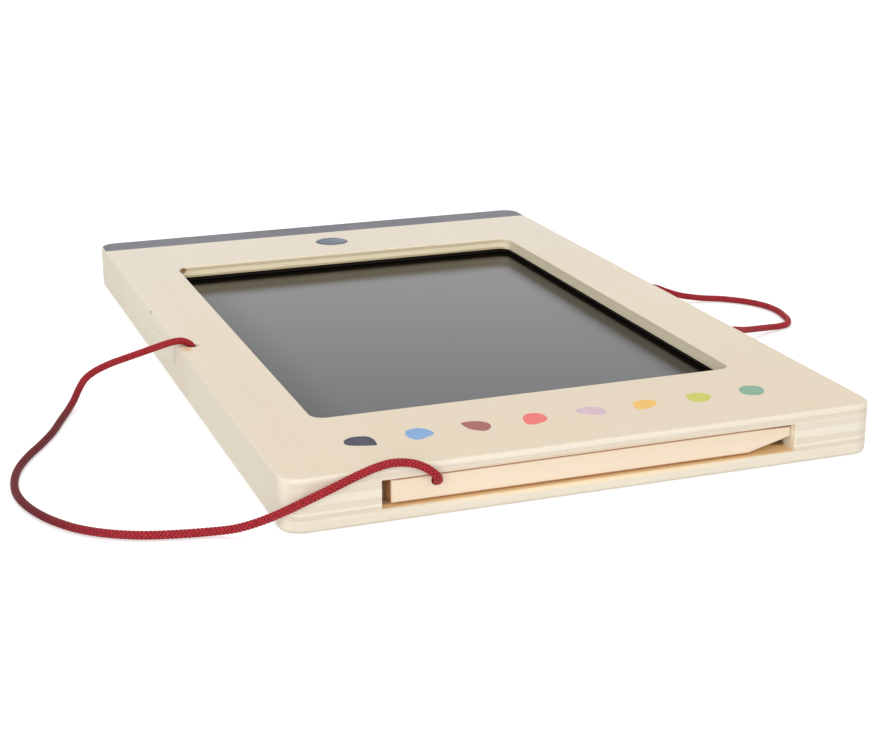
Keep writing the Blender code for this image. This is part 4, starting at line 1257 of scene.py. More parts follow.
@dataclass(frozen=True)
class BraidFinish(Finish):
    """Crimson braid: strands wind both ways, two over and two under, along the cord's own map."""

    strands: int = 8
    # The crest is the dye; the flank and the dark colour between the strands are painted shade on it
    crest: Colour = display(208, 52, 62)
    flank: Colour = display(148, 20, 33)
    painted_gap_shade: Colour = display(48, 2, 9)
    flank_range: Pair = (0.12, 0.62)
    crest_range: Pair = (0.3, 0.6)
    filaments: float = 5.0
    filament_height: float = 0.25
    ridge_height: float = 2.5
    fuzz: float = 2600.0
    roughness: Pair = (0.38, 0.6)
    relief: float = 0.05 * MM
    sheen: float = 0.2
    # Painted shade on the cord's stretch at the left of the board
    painted_shade: Colour = display(84, 8, 18)
    painted_shade_share: float = 0.85
    painted_shade_ends: Pair = (-112.0 * MM, -16.0 * MM)
    painted_shade_side: float = -112.0 * MM
    painted_shade_fade: float = 14.0 * MM

    def across(self, paint: Painter) -> Socket:
        """The place across the strand that lies on top.

        Args:
            paint: The material's painter.

        Returns:
            0 at one side of the strand and 1 at the other.
        """
        around, along = paint.apart(paint.node("UVMap", uv_map=CORD_MAP).outputs["UV"])[:2]
        ways = ("ADD", "SUBTRACT")
        winds = [paint.product(paint.math(way, around, along), self.strands) for way in ways]
        cells = [paint.math("FLOOR", wind) for wind in winds]
        shares = [paint.math("SUBTRACT", wind, cell) for wind, cell in zip(winds, cells)]
        turn = paint.math("FLOORED_MODULO", paint.math("ADD", *cells), 4.0)
        return paint.blend(paint.math("GREATER_THAN", turn, 1.5), *shares)

    def paint(self, paint: Painter, shader: Any) -> None:
        """Joins the strands with painted shade between them, their filaments and a stretch of painted shade
        to the shader.

        Args:
            paint: The material's painter.
            shader: The shader's inputs.
        """
        across = self.across(paint)
        ridge = paint.math("SINE", paint.product(across, math.pi))
        fine = paint.math("SINE", paint.product(across, 2 * math.pi * self.filaments))
        place = paint.place()
        fuzz = paint.noise(place, self.fuzz)
        colour = paint.layered(
            self.painted_gap_shade,
            (paint.between(ridge, self.flank_range), self.flank),
            (paint.between(paint.product(ridge, fuzz), self.crest_range), self.crest),
            (self.shaded_stretch(paint, place), self.painted_shade),
        )
        strands = paint.product(ridge, self.ridge_height)
        height = paint.math("ADD", strands, paint.product(fine, self.filament_height))
        roughness = paint.between(fuzz, NOISE, self.roughness)
        paint.surface(shader, colour, roughness, paint.bump(height, self.relief, strength=0.7))

    def shaded_stretch(self, paint: Painter, place: Any) -> Socket:
        """How far the cord is darkened by painted shade: most on the stretch that runs over the table at the
        left.

        Args:
            paint: The material's painter.
            place: The piece's own coordinates.

        Returns:
            The darkening, 0 to 1.
        """
        x, y = paint.apart(place)[:2]
        near, far = self.painted_shade_ends
        fade = self.painted_shade_fade
        return paint.product(
            paint.between(x, (self.painted_shade_side - fade, self.painted_shade_side + fade), (self.painted_shade_share, 0.0)),
            paint.between(y, (near - fade, near + fade)),
            paint.between(y, (far - fade, far + fade), FALL),
        )


PLYWOOD = PlywoodFinish("pale_plywood", Slot.PLYWOOD)
# A brighter, yellower copy of the plywood on the window's walls: painted light, over the walls' own plies
LIT_WINDOW_WALL = PlywoodFinish(
    "window_wall_lit_plywood",
    Slot.PLYWOOD,
    plies=WINDOW_PLIES,
    marks=CORNER_MARKS,
    edge_light=display(254, 240, 205),
    edge_dark=display(205, 186, 150),
    side=display(254, 242, 212),
)
STYLUS_WOOD = StylusWoodFinish("sanded_stylus_wood", Slot.STYLUS_WOOD)
WRITING_FILM = WritingFilmFinish("writing_film_satin", Slot.SCREEN_FILM)
BLACK_FOAM = FoamFinish("black_foam_cells", Slot.BLACK_FOAM)
BLACK_PLASTIC = MouldedFinish("black_moulding", Slot.BLACK_PLASTIC)
GREY_PLASTIC = MouldedFinish(
    "grey_moulding",
    Slot.GREY_PLASTIC,
    colour=display(112, 119, 133),
    rubbed=display(120, 127, 141),
    roughness=(0.48, 0.34),
)
GREY_CAP = CapFinish(
    "grey_button_cap",
    Slot.GREY_PLASTIC,
    colour=display(86, 97, 117),
    rubbed=display(91, 102, 122),
    roughness=(0.48, 0.34),
)
SOLDER_MASK = SolderMaskFinish("green_solder_mask", Slot.SOLDER_MASK)
AMBER_FILM = AmberFilmFinish("amber_cable_film", Slot.AMBER_FILM)
STEEL = MetalFinish("plated_steel", Slot.STEEL)
BRASS = MetalFinish("rolled_brass", Slot.BRASS, colour=display(226, 190, 116), tarnish=display(170, 130, 70))
RED_CORD = BraidFinish("crimson_braid", Slot.RED_CORD)


def dress(
    piece: Piece, finishes: Finish | Sequence[Finish], body: Body, nodes: Sequence[str] = ()
) -> Piece:
    """Gives a finished piece its materials, its body and the solids that it stands for.

    Args:
        piece: The finished mesh.
        finishes: Its finish, or one for each of its material slots.
        body: The body that it moves with.
        nodes: The solids that it replaces.

    Returns:
        The piece.
    """
    listed = [finishes] if isinstance(finishes, Finish) else list(finishes)
    for finish in listed:
        piece.data.materials.append(finish.material())
    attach(piece, body.value)
    if nodes:
        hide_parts(*nodes)
    LOG.info("%s on %s, %d faces", piece.name, body.value, len(piece.data.polygons))
    return piece


@dataclass
class Board:
    """The three glued plywood layers."""

    corner: float = 6.0 * MM
    edge: float = 1.3 * MM
    face_edge: float = 0.8 * MM
    window_corner: float = 4.3 * MM
    rim_ease: float = 0.3 * MM
    wall_slope: float = 0.9
    lip_ease: float = 1.15 * MM
    lip_stop: float = 0.05 * MM
    pocket_gap: float = 0.4 * MM
    pocket_corner: float = 3.0 * MM
    lip_gap: float = 0.2 * MM
    bay_gap: float = 0.5 * MM
    bay_corner: float = 3.0 * MM
    channel_gap: float = 0.5 * MM
    slot_left_gap: float = 2.9 * MM
    slot_tip_gap: float = 0.3 * MM
    slot_back_gap: float = 0.5 * MM
    slot_corner: float = 1.0 * MM
    button_gap: float = 0.5 * MM
    tether_hole: Vector = field(default_factory=lambda: Vector((-81.8, -10.0, 0.0)) * MM)
    tether_radius: float = 2.0 * MM
    tether_ease: float = 0.95 * MM
    knot_gap: float = 0.4 * MM
    door_gap: float = 0.3 * MM
    door_corner: float = 4.3 * MM
    hatch_gap: float = 0.8 * MM
    hole_gap: float = 0.2 * MM

    def __post_init__(self) -> None:
        """Reads the layers' boxes, lets the core meet the panels at the glue lines and places the slot."""
        self.back = Span.of("back_panel")
        self.core = Span.of("core_frame").at(self.back.high.z, FACE.low.z)
        self.module = Span.of("screen_bezel")
        self.window = self.module.grown(-WINDOW_MARGIN).at(FACE.low.z, FACE.high.z)
        stylus = Span.of("stylus")
        self.slot = Span(
            Vector((stylus.low.x - self.slot_left_gap, self.core.low.y - 2 * self.slot_corner, 0.0)),
            Vector((stylus.high.x + self.slot_tip_gap, stylus.high.y + self.slot_back_gap, 0.0)),
        )

    def build(self) -> None:
        """Makes and dresses the three layers."""
        dress(self.front_panel(), (PLYWOOD, LIT_WINDOW_WALL), Body.TABLET, ["front_panel"])
        dress(self.core_frame(), (PLYWOOD, LIT_WINDOW_WALL), Body.TABLET, ["core_frame"])
        dress(self.back_panel(), PLYWOOD, Body.TABLET, ["back_panel"])

    def front_panel(self) -> Piece:
        """The face with its rounded rim, its window and the holes for the button and the tether.

        Returns:
            The layer.
        """
        panel = Bench.slab("front_veneer_panel", FACE, self.corner, top_edge=self.face_edge)
        opening = self.window.grown(0.0, OVERCUT)
        Bench.cut(panel, Bench.slab("window_cutter", opening, self.window_corner))
        button = Span.of("erase_button")
        hole = button.size.x / 2 - BUTTON_FLANGE + self.button_gap
        self.bore(panel, hole, button.middle, FACE, sides=Bench.TURNED_SIDES)
        self.bore(panel, self.tether_radius, self.tether_hole, FACE)
        top = at_height(FACE.high.z)
        Bench.round_off(panel, lambda e: top(e) and self.on_tether_rim(e), self.tether_ease, steps=5)
        Bench.round_off(panel, lambda e: top(e) and is_crease(e), self.rim_ease, steps=4)
        self.mark_wall(panel)
        return Bench.polish(panel)

    def core_frame(self) -> Piece:
        """The middle layer with the screen pocket, the bay, the stylus slot and the knot pockets.

        Returns:
            The layer.
        """
        core = Bench.slab("core_plywood_frame", self.core, self.corner)
        pocket = self.module.grown(self.pocket_gap).at(
            self.core.low.z - OVERCUT, self.module.high.z + self.lip_gap
        )
        Bench.cut(core, Bench.slab("pocket_cutter", pocket, self.pocket_corner, steps=6))
        opening = self.window.at(self.core.middle.z, self.core.high.z + OVERCUT)
        Bench.cut(core, Bench.slab("lip_cutter", opening, self.window_corner))
        bay = Span.of("circuit_board").grown(self.bay_gap)
        Bench.cut(core, Bench.slab("bay_cutter", self.core_deep(bay), self.bay_corner, steps=6))
        cable = Span.of("flex_cable").grown(self.channel_gap)
        channel = Span(
            Vector((cable.low.x, pocket.high.y - OVERCUT, 0.0)),
            Vector((cable.high.x, bay.low.y + OVERCUT, 0.0)),
        )
        Bench.cut(core, Bench.block("channel_cutter", self.core_deep(channel)))
        Bench.cut(core, Bench.slab("slot_cutter", self.core_deep(self.slot), self.slot_corner, steps=5))
        self.drill_core(core)
        Bench.round_off(core, lambda e: is_crease(e) and self.on_loop_rim(e), self.rim_ease, steps=3)
        self.mark_wall(core)
        return Bench.polish(core)

    def drill_core(self, core: Piece) -> None:
        """Drills the knots' pockets, the carrying loop's holes and the hole for the door's insert.

        Args:
            core: The middle layer.
        """
        for name in ("tether_knot", *LOOP_KNOTS):
            knot = Span.of(name)
            self.bore(core, knot.size.x / 2 + self.knot_gap, knot.middle, self.core, sides=32)
            if name in LOOP_KNOTS:
                outside = Vector((self.core.high.x + OVERCUT, knot.middle.y, knot.middle.z))
                Bench.drill(core, CORD_HOLE, knot.middle, outside, sides=32)
        insert = Span.of("battery_door_insert")
        self.bore(core, insert.size.x / 2 + self.hole_gap, insert.middle, self.core, sides=32)

    def back_panel(self) -> Piece:
        """The back with its rounded rim, the door's rebate and the hatch for the coin cell.

        Returns:
            The layer.
        """
        panel = Bench.slab("back_veneer_panel", self.back, self.corner, bottom_edge=self.edge)
        cell = Span.of("coin_cell")
        rebate = Span.of("battery_door").grown(self.door_gap).at(-OVERCUT, cell.low.z)
        Bench.cut(panel, Bench.slab("rebate_cutter", rebate, self.door_corner, steps=8))
        self.bore(panel, cell.size.x / 2 + self.hatch_gap, cell.middle, self.back, sides=64)
        insert = Span.of("battery_door_insert")
        self.bore(panel, insert.size.x / 2 + self.hole_gap, insert.middle, self.back, sides=32)
        for place in SCREW_PLACES:
            screw = Span.of(f"board_screw_{place}")
            shank = Span.of(f"board_spacer_{place}").size.x / 4 + self.hole_gap
            start = Vector((*screw.middle.xy, screw.low.z - self.hole_gap))
            Bench.drill(panel, shank, start, Vector((*screw.middle.xy, self.back.high.z + OVERCUT)), sides=16)
        bottom = at_height(self.back.low.z)
        Bench.round_off(panel, lambda e: bottom(e) and is_crease(e), self.rim_ease, steps=3)
        self.ease_lip(panel)
        return Bench.polish(panel)

    def ease_lip(self, panel: Piece) -> None:
        """Rounds the back panel's upper front edge where the stylus slot lays it bare.

        Args:
            panel: The back panel.
        """
        left, right = self.slot.low.x, self.slot.high.x
        for x in (left - self.lip_stop, left, right, right + self.lip_stop):
            Bench.pick_all(panel)
            bpy.ops.mesh.bisect(plane_co=(x, 0.0, 0.0), plane_no=(1.0, 0.0, 0.0))
        top = at_height(self.back.high.z)
        Bench.round_off(panel, lambda e: top(e) and self.on_lip(e), self.lip_ease, steps=5)

    def on_lip(self, edge: Any) -> bool:
        """Whether an edge lies on the front face between the slot's two ends."""
        left, front, right = self.slot.low.x - TOUCH, self.back.low.y, self.slot.high.x + TOUCH
        return all(abs(vert.co.y - front) < TOUCH and left < vert.co.x < right for vert in edge.verts)

    def on_tether_rim(self, edge: Any) -> bool:
        """Whether an edge lies within the tether hole's radius."""
        reach = self.tether_radius + TOUCH
        return all((vert.co - self.tether_hole).xy.length < reach for vert in edge.verts)

    def on_loop_rim(self, edge: Any) -> bool:
        """Whether an edge lies on the outer rim of one of the carrying loop's holes.

        Args:
            edge: An edge of the middle layer.

        Returns:
            Whether it does.
        """
        outside = all(abs(vert.co.x - self.core.high.x) < TOUCH for vert in edge.verts)
        middle = (edge.verts[0].co + edge.verts[1].co) / 2
        knots = (Span.of(name).middle for name in LOOP_KNOTS)
        return outside and any((middle - knot).yz.length < CORD_HOLE + TOUCH for knot in knots)

    def core_deep(self, span: Span) -> Span:
        """A plan that cuts right through the core."""
        return span.at(self.core.low.z - OVERCUT, self.core.high.z + OVERCUT)

    @staticmethod
    def bore(
        panel: Piece, radius: float, place: Vector, layer: Span, sides: int = Bench.HOLE_SIDES
    ) -> None:
        """Drills right through a layer.

        Args:
            panel: The layer's mesh object.
            radius: The hole's radius.
            place: A point on the hole's upright axis.
            layer: The layer's box.
            sides: Facets round the hole.
        """
        below = Vector((*place.xy, layer.low.z - OVERCUT))
        Bench.drill(panel, radius, below, Vector((*place.xy, layer.high.z + OVERCUT)), sides)

    def mark_wall(self, layer: Piece) -> None:
        """Gives the window's wall in a layer its own material slot.

        Args:
            layer: The layer's mesh object.
        """
        inner = self.window.grown(self.rim_ease)
        Bench.pick(layer, Pick.FACES, lambda face: self.is_wall(face, inner))
        for face in bmesh.from_edit_mesh(layer.data).faces:
            face.material_index = 1 if face.select else 0
        Bench.put_down()

    def is_wall(self, face: Any, inner: Span) -> bool:
        """Whether a face is part of the window's wall.

        Args:
            face: A face of a layer.
            inner: The window's plan, a little wider.

        Returns:
            Whether it is.
        """
        middle = face.calc_center_median()
        inside = all(low < value < high for low, value, high in zip(inner.low.xy, middle.xy, inner.high.xy))
        return inside and abs(face.normal.z) < self.wall_slope


def curve_through(padded: np.ndarray, steps: int) -> np.ndarray:
    """A fine polyline on the Catmull-Rom curve through all points but the first and the last.

    Args:
        padded: The points, with one more before and after them.
        steps: Points on each stretch.

    Returns:
        The polyline, without its first point.
    """
    share = np.arange(1, steps + 1)[:, None] / steps
    line = []
    for before, start, end, after in zip(padded, padded[1:], padded[2:], padded[3:]):
        square = (2 * before - 5 * start + 4 * end - after) * share**2
        cube = (3 * start - before - 3 * end + after) * share**3
        line.append(0.5 * (2 * start + (end - before) * share + square + cube))
    return np.vstack(line)


Outline = tuple[Pair, ...]
SLATE_DROP: Outline = (
    (-4.3, -0.2), (-3.7, 2.2), (-1.7, 3.9), (0.8, 4.2), (3.3, 3.2), (4.2, 1.0),
    (4.2, -1.5), (3.8, -4.1), (2.3, -4.2), (-0.8, -3.2), (-3.5, -1.9),
)
BLUE_DROP: Outline = (
    (-3.9, 0.1), (-3.0, 3.0), (-0.9, 4.4), (1.2, 4.4), (3.1, 2.6), (3.9, 0.1),
    (3.4, -2.0), (1.4, -3.2), (-0.9, -4.5), (-2.6, -4.3), (-3.6, -2.4),
)
BROWN_DROP: Outline = (
    (-3.5, 4.0), (-0.8, 4.4), (1.7, 3.7), (3.5, 1.6), (3.6, -0.9),
    (2.5, -3.2), (0.6, -4.5), (-1.2, -3.7), (-2.9, -1.8), (-3.7, 1.2),
)
CORAL_DROP: Outline = (
    (-3.6, -3.9), (-3.8, -1.8), (-3.2, 1.1), (-1.7, 3.7), (0.4, 4.6), (2.7, 3.9),
    (3.7, 1.7), (3.5, -1.0), (2.0, -3.1), (-0.3, -4.2), (-2.3, -4.6),
)
LILAC_DROP: Outline = (
    (-3.9, 1.2), (-3.1, 2.9), (-0.6, 4.0), (2.3, 3.2), (3.7, 1.2), (3.8, -1.2),
    (3.0, -3.3), (1.7, -4.0), (-0.6, -3.2), (-2.7, -1.8), (-3.7, -0.4),
)
ORANGE_DROP: Outline = (
    (-3.6, -0.3), (-3.1, 2.0), (-1.2, 3.4), (1.3, 3.7), (3.4, 3.0), (3.9, 0.9),
    (2.7, -1.4), (0.5, -2.8), (-2.2, -3.8), (-3.6, -3.0), (-3.9, -1.6),
)
LIME_DROP: Outline = (
    (-3.7, -0.7), (-3.1, 2.2), (-1.4, 3.7), (1.1, 4.0), (3.2, 2.6),
    (3.7, 0.5), (2.7, -2.0), (0.7, -3.7), (-1.8, -4.1), (-3.5, -2.8),
)
TEAL_DROP: Outline = (
    (-4.0, -0.5), (-3.3, 2.0), (-1.8, 3.8), (0.2, 4.5), (2.7, 3.8), (4.0, 2.0),
    (3.3, -1.1), (1.9, -3.4), (-0.3, -4.4), (-2.7, -3.6), (-3.8, -2.2),
)


@dataclass(frozen=True)
class Drop:
    """One printed drop: its colour, its place in millimetres, a share for its width, and its outline."""

    name: str
    colour: Colour
    place: Pair
    width: float
    outline: Outline


@dataclass
class PrintedDrops:
    """A row of small ink drops between the window and the front edge."""

    ink: float = 0.03 * MM
    steps: int = 5
    depth: float = 0.95
    drops: tuple[Drop, ...] = (
        Drop("slate", display(57, 58, 74), (-59.5, -113.0), 0.97, SLATE_DROP),
        Drop("blue", display(130, 168, 212), (-42.5, -112.7), 0.98, BLUE_DROP),
        Drop("brown", display(163, 95, 90), (-25.6, -112.6), 0.96, BROWN_DROP),
        Drop("coral", display(236, 117, 112), (-8.8, -112.5), 0.97, CORAL_DROP),
        Drop("lilac", display(214, 186, 198), (8.4, -112.4), 1.01, LILAC_DROP),
        Drop("orange", display(240, 192, 100), (24.9, -112.5), 0.98, ORANGE_DROP),
        Drop("lime", display(203, 204, 98), (42.0, -112.3), 1.0, LIME_DROP),
        Drop("teal", display(130, 172, 148), (59.1, -112.3), 0.98, TEAL_DROP),
    )

    def build(self) -> None:
        """Prints the row."""
        for drop in self.drops:
            finish = InkFinish(f"ink_{drop.name}", None, colour=drop.colour)
            dress(self.print_drop(drop), finish, Body.TABLET)

    def print_drop(self, drop: Drop) -> Piece:
        """One drop: a disc pulled to its outline and drawn up to the ink's thickness.

        Args:
            drop: The drop's place and outline.

        Returns:
            The ink.
        """
        place = Vector((drop.place[0] * MM, drop.place[1] * MM, FACE.high.z - self.ink))
        shares = (drop.width, self.depth, 0.0)
        corners = np.array([(*corner, 0.0) for corner in drop.outline]) * shares * MM
        rim = curve_through(np.vstack([corners[-1:], corners, corners[:2]]), self.steps)
        Bench.put_down()
        bpy.ops.mesh.primitive_circle_add(vertices=len(rim), radius=MM, fill_type="NGON", location=place)
        ink = Bench.settle(f"printed_drop_{drop.name}")
        for vert, out in zip(ink.data.vertices, rim):
            vert.co = place + Vector(out)
        Bench.pick_all(ink)
        bpy.ops.mesh.extrude_region_move(TRANSFORM_OT_translate={"value": (0.0, 0.0, 2 * self.ink)})
        Bench.face_outwards()
        return Bench.polish(ink)


@dataclass
class ScreenModule:
    """The gasket, the writing film, the backing plate and the foam pads under the window."""

    corner: float = 3.0 * MM
    setback: float = 0.4 * MM
    window_corner: float = 4.7 * MM
    ease: float = 0.15 * MM
    pad_corner: float = 1.0 * MM
    pad_ease: float = 0.4 * MM

    def build(self) -> None:
        """Makes and dresses the module's pieces."""
        dress(self.gasket(), BLACK_FOAM, Body.TABLET, ["screen_bezel"])
        for name, node, finish in (
            ("writing_film", "lcd_film", WRITING_FILM),
            ("film_backing_plate", "lcd_backing_plate", BLACK_PLASTIC),
        ):
            sheet = Bench.slab(name, Span.of(node), self.corner, self.ease, self.ease, steps=8)
            dress(Bench.polish(sheet), finish, Body.TABLET, [node])
        for place in ("near_left", "near_right", "far_left", "far_right"):
            node = f"foam_pad_{place}"
            pad = Bench.slab(
                f"soft_{node}", Span.of(node), self.pad_corner, self.pad_ease, self.pad_ease, steps=4
            )
            dress(Bench.polish(pad), BLACK_FOAM, Body.TABLET, [node])

    def gasket(self) -> Piece:
        """The foam frame between the film and the front panel, with its inner edge eased.

        Returns:
            The gasket.
        """
        span = Span.of("screen_bezel")
        gasket = Bench.slab("window_gasket", span, self.corner, steps=8)
        opening = span.grown(self.setback - WINDOW_MARGIN, OVERCUT)
        Bench.cut(gasket, Bench.slab("gasket_cutter", opening, self.window_corner))
        Bench.round_off(gasket, lambda e: is_crease(e) and not is_upright(e), self.ease, steps=3)
        return Bench.polish(gasket)


@dataclass
class EraseButton:
    """The round button with its flange, its rounded rim and its slightly domed top."""

    flange: float = 1.5 * MM
    flange_ease: float = 0.175 * MM
    crown: float = 0.15 * MM
    crown_rings: tuple[float, ...] = (0.85, 0.65, 0.45, 0.25, 0.08)
    edge: float = 0.5 * MM
    edge_steps: int = 6

    def build(self) -> None:
        """Turns and dresses the button."""
        span = Span.of("erase_button")
        lip = span.size.x / 2
        radius = lip - BUTTON_FLANGE
        flange_top = span.low.z + self.flange
        rim = span.high.z - self.crown
        profile = [
            (lip - self.flange_ease, span.low.z),
            (lip, span.low.z + self.flange_ease),
            (lip, flange_top - self.flange_ease),
            (lip - self.flange_ease, flange_top),
            (radius, flange_top),
        ]
        for step in range(self.edge_steps + 1):
            angle = math.pi / 2 * step / self.edge_steps
            out = radius - self.edge * (1 - math.cos(angle))
            profile.append((out, rim - self.edge * (1 - math.sin(angle))))
        flat = radius - self.edge
        for share in self.crown_rings:
            profile.append((flat * share, rim + self.crown * (1 - share**2)))
        button = Bench.polish(Bench.turned("erase_button_cap", span.middle, profile))
        dress(button, GREY_CAP, Body.BUTTON, ["erase_button"])


@dataclass
class Stylus:
    """The square wooden stick with its tapered tip and the hole for the tether."""

    taper: float = 13.4 * MM
    tip_height: float = 3.3 * MM
    tip_depth: float = 5.8 * MM
    tip_rise: float = 1.2 * MM
    blunt: float = 0.4 * MM
    nose: tuple[float, ...] = (30.0, 60.0, 90.0)
    edge: float = 0.95 * MM
    end_edge: float = 0.9 * MM
    edge_steps: int = 6
    hole_from_end: float = 12.4 * MM
    hole_rise: float = 1.6 * MM
    hole_depth: float = 4.5 * MM

    def build(self) -> None:
        """Shapes, drills and dresses the stick."""
        span = Span.of("stylus")
        left = span.low.x
        shoulder = span.high.x - self.taper
        stick = Bench.block("stylus_stick", Span(span.low, Vector((shoulder, *span.high.yz))))
        Bench.round_off(
            stick, lambda e: abs(e.verts[0].co.x - e.verts[1].co.x) > TOUCH, self.edge, self.edge_steps
        )
        Bench.round_off(
            stick, lambda e: all(abs(v.co.x - left) < TOUCH for v in e.verts), self.end_edge, self.edge_steps
        )
        self.draw_tip(stick, span, shoulder)
        mouth = Vector((left + self.hole_from_end, span.low.y, span.middle.z + self.hole_rise))
        deep = Vector((0.0, self.hole_depth, 0.0))
        Bench.drill(stick, CORD_HOLE, mouth - deep, mouth + deep, sides=32)
        dress(Bench.polish(stick), STYLUS_WOOD, Body.STYLUS, ["stylus"])

    def draw_tip(self, stick: Piece, span: Span, shoulder: float) -> None:
        """Draws the stick's right end out to a wedge with a rounded nose.

        Args:
            stick: The stick, which ends at its shoulder.
            span: The whole stylus's box.
            shoulder: Where the taper starts, along X.
        """
        wedge = self.taper - self.blunt
        steps = [(wedge, self.tip_depth, self.tip_height)]
        for angle in map(math.radians, self.nose):
            less = 2 * self.blunt * (1 - math.cos(angle))
            out = wedge + self.blunt * math.sin(angle)
            steps.append((out, self.tip_depth - less, self.tip_height - less))
        Bench.pick(stick, Pick.FACES, lambda face: abs(face.calc_center_median().x - shoulder) < TOUCH)
        reached, rise, depth, height = 0.0, self.tip_rise, span.size.y, span.size.z
        for out, narrowed, lowered in steps:
            bpy.ops.mesh.extrude_region_move(TRANSFORM_OT_translate={"value": (out - reached, 0.0, rise)})
            centre = (shoulder + out, span.middle.y, span.middle.z + self.tip_rise)
            bpy.ops.transform.resize(value=(1.0, narrowed / depth, lowered / height), center_override=centre)
            reached, rise, depth, height = out, 0.0, narrowed, lowered
        Bench.put_down()


@dataclass
class BatteryDoor:
    """The screwed door on the underside, with its finger grooves, and its screw."""

    corner: float = 4.0 * MM
    edge: float = 0.35 * MM
    head_gap: float = 0.2 * MM
    seat_gap: float = 0.2 * MM
    head_height: float = 0.85 * MM
    head_rings: tuple[Pair, ...] = ((0.6, 0.0), (0.85, 0.1), (0.97, 0.35), (1.0, 0.8), (1.0, 1.0))
    shank: float = 1.0 * MM
    point: float = 0.2 * MM
    point_length: float = 0.5 * MM
    grooves: int = 6
    groove_pitch: float = 1.8 * MM
    groove_width: float = 0.9 * MM
    groove_corner: float = 0.441 * MM
    groove_depth: float = 0.45 * MM
    groove_from_edge: float = 2.6 * MM
    groove_from_end: float = 7.8 * MM
    cross_arm: float = 1.25 * MM
    cross_width: float = 0.5 * MM
    cross_depth: float = 0.5 * MM

    def build(self) -> None:
        """Makes and dresses the door and its screw."""
        dress(self.door(), BLACK_PLASTIC, Body.TABLET, ["battery_door"])
        dress(self.screw(), STEEL, Body.TABLET, ["battery_door_screw"])

    def door(self) -> Piece:
        """The door with eased edges, a counterbored screw hole and finger grooves.

        Returns:
            The door.
        """
        span = Span.of("battery_door")
        screw = Span.of("battery_door_screw")
        door = Bench.slab("battery_hatch_door", span, self.corner, bottom_edge=self.edge, steps=10)
        below = Vector((*screw.middle.xy, span.low.z - OVERCUT))
        seat = Vector((*screw.middle.xy, screw.low.z + self.head_height + self.seat_gap))
        above = Vector((*screw.middle.xy, span.high.z + OVERCUT))
        Bench.drill(door, screw.size.x / 2 + self.head_gap, below, seat)
        Bench.drill(door, self.shank + self.head_gap, below, above, sides=32)
        half = span.size.y / 2 - self.groove_from_end
        for index in range(self.grooves):
            x = span.low.x + self.groove_from_edge + index * self.groove_pitch
            low = Vector((x, span.middle.y - half, span.low.z - OVERCUT))
            high = Vector((x + self.groove_width, span.middle.y + half, span.low.z + self.groove_depth))
            Bench.cut(door, Bench.slab("groove_cutter", Span(low, high), self.groove_corner, steps=6))
        return Bench.polish(door)

    def screw(self) -> Piece:
        """A pan head screw with a cross recess.

        Returns:
            The screw.
        """
        span = Span.of("battery_door_screw")
        head = span.size.x / 2
        profile = [
            *((head * out, span.low.z + self.head_height * up) for out, up in self.head_rings),
            (self.shank, span.low.z + self.head_height),
            (self.shank, span.high.z - self.point_length),
            (self.point, span.high.z),
        ]
        screw = Bench.turned("door_pan_screw", span.middle, profile, sides=48)
        bottom = Vector((*span.middle.xy, span.low.z))
        for arm in ((self.cross_arm, self.cross_width / 2), (self.cross_width / 2, self.cross_arm)):
            low = bottom - Vector((*arm, OVERCUT))
            high = bottom + Vector((*arm, self.cross_depth))
            Bench.cut(screw, Bench.block("cross_cutter", Span(low, high)))
        return Bench.polish(screw)


@dataclass
class Electronics:
    """The inner pieces, which keep their solids and get their finishes."""

    finishes: dict[str, Finish] = field(
        default_factory=lambda: {
            "circuit_board": SOLDER_MASK,
            "flex_cable": AMBER_FILM,
            "flex_connector": BLACK_PLASTIC,
            "controller_chip": BLACK_PLASTIC,
            "tact_switch_body": BLACK_PLASTIC,
            "tact_switch_plunger": BLACK_PLASTIC,
            "battery_holder": BLACK_PLASTIC,
            "coin_cell": STEEL,
            "battery_contact_positive": BRASS,
            "battery_contact_negative": BRASS,
            "battery_door_insert": BRASS,
            **{f"board_spacer_{place}": GREY_PLASTIC for place in SCREW_PLACES},
            **{f"board_screw_{place}": STEEL for place in SCREW_PLACES},
        }
    )

    def build(self) -> None:
        """Gives each inner solid its finish."""
        for node, finish in self.finishes.items():
            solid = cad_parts[node]
            if not solid.material_slots:
                solid.data.materials.append(None)
            for slot in solid.material_slots:
                slot.material = finish.material()
            LOG.info("%s keeps its solid", node)


# The tether from its knot, over the left edge, along the table and up to the stylus, in millimetres
TETHER_ROUTE: tuple[Point, ...] = (
    (-81.1, -10.0, 10.8), (-81.2, -10.0, 12.9), (-81.7, -10.0, 14.2), (-82.7, -10.0, 15.5),
    (-84.2, -10.0, 16.3), (-86.0, -10.0, 16.65), (-88.8, -10.0, 16.35), (-92.5, -10.0, 15.5),
    (-97.6, -10.0, 14.2), (-102.6, -10.0, 12.95), (-107.7, -10.0, 11.6), (-112.4, -10.1, 9.8),
    (-115.8, -10.9, 7.8), (-118.2, -12.8, 5.3), (-120.2, -15.8, 3.2), (-122.6, -20.0, 1.8),
    (-126.0, -27.6, 1.3), (-129.8, -37.3, 1.3), (-134.4, -46.6, 1.3), (-139.2, -55.2, 1.3),
    (-143.0, -63.9, 1.3), (-145.3, -72.8, 1.3), (-146.1, -81.9, 1.3), (-145.2, -90.4, 1.3),
    (-142.8, -98.8, 1.3), (-139.2, -106.4, 1.3), (-134.4, -113.2, 1.3), (-127.8, -118.9, 1.3),
    (-120.0, -123.0, 1.3), (-111.4, -125.4, 1.3), (-103.2, -127.3, 1.5), (-97.6, -129.9, 2.5),
    (-91.9, -132.1, 4.4), (-86.1, -134.3, 7.1), (-80.3, -135.8, 9.9), (-74.0, -136.1, 12.3),
    (-67.7, -136.1, 14.65), (-62.4, -136.1, 16.3), (-57.5, -136.2, 17.0), (-52.7, -136.5, 16.3),
    (-49.2, -136.9, 14.7), (-46.5, -136.9, 12.4), (-45.2, -135.2, 10.4), (-45.0, -133.0, 9.475),
    (-45.0, -128.8, 9.475),
)
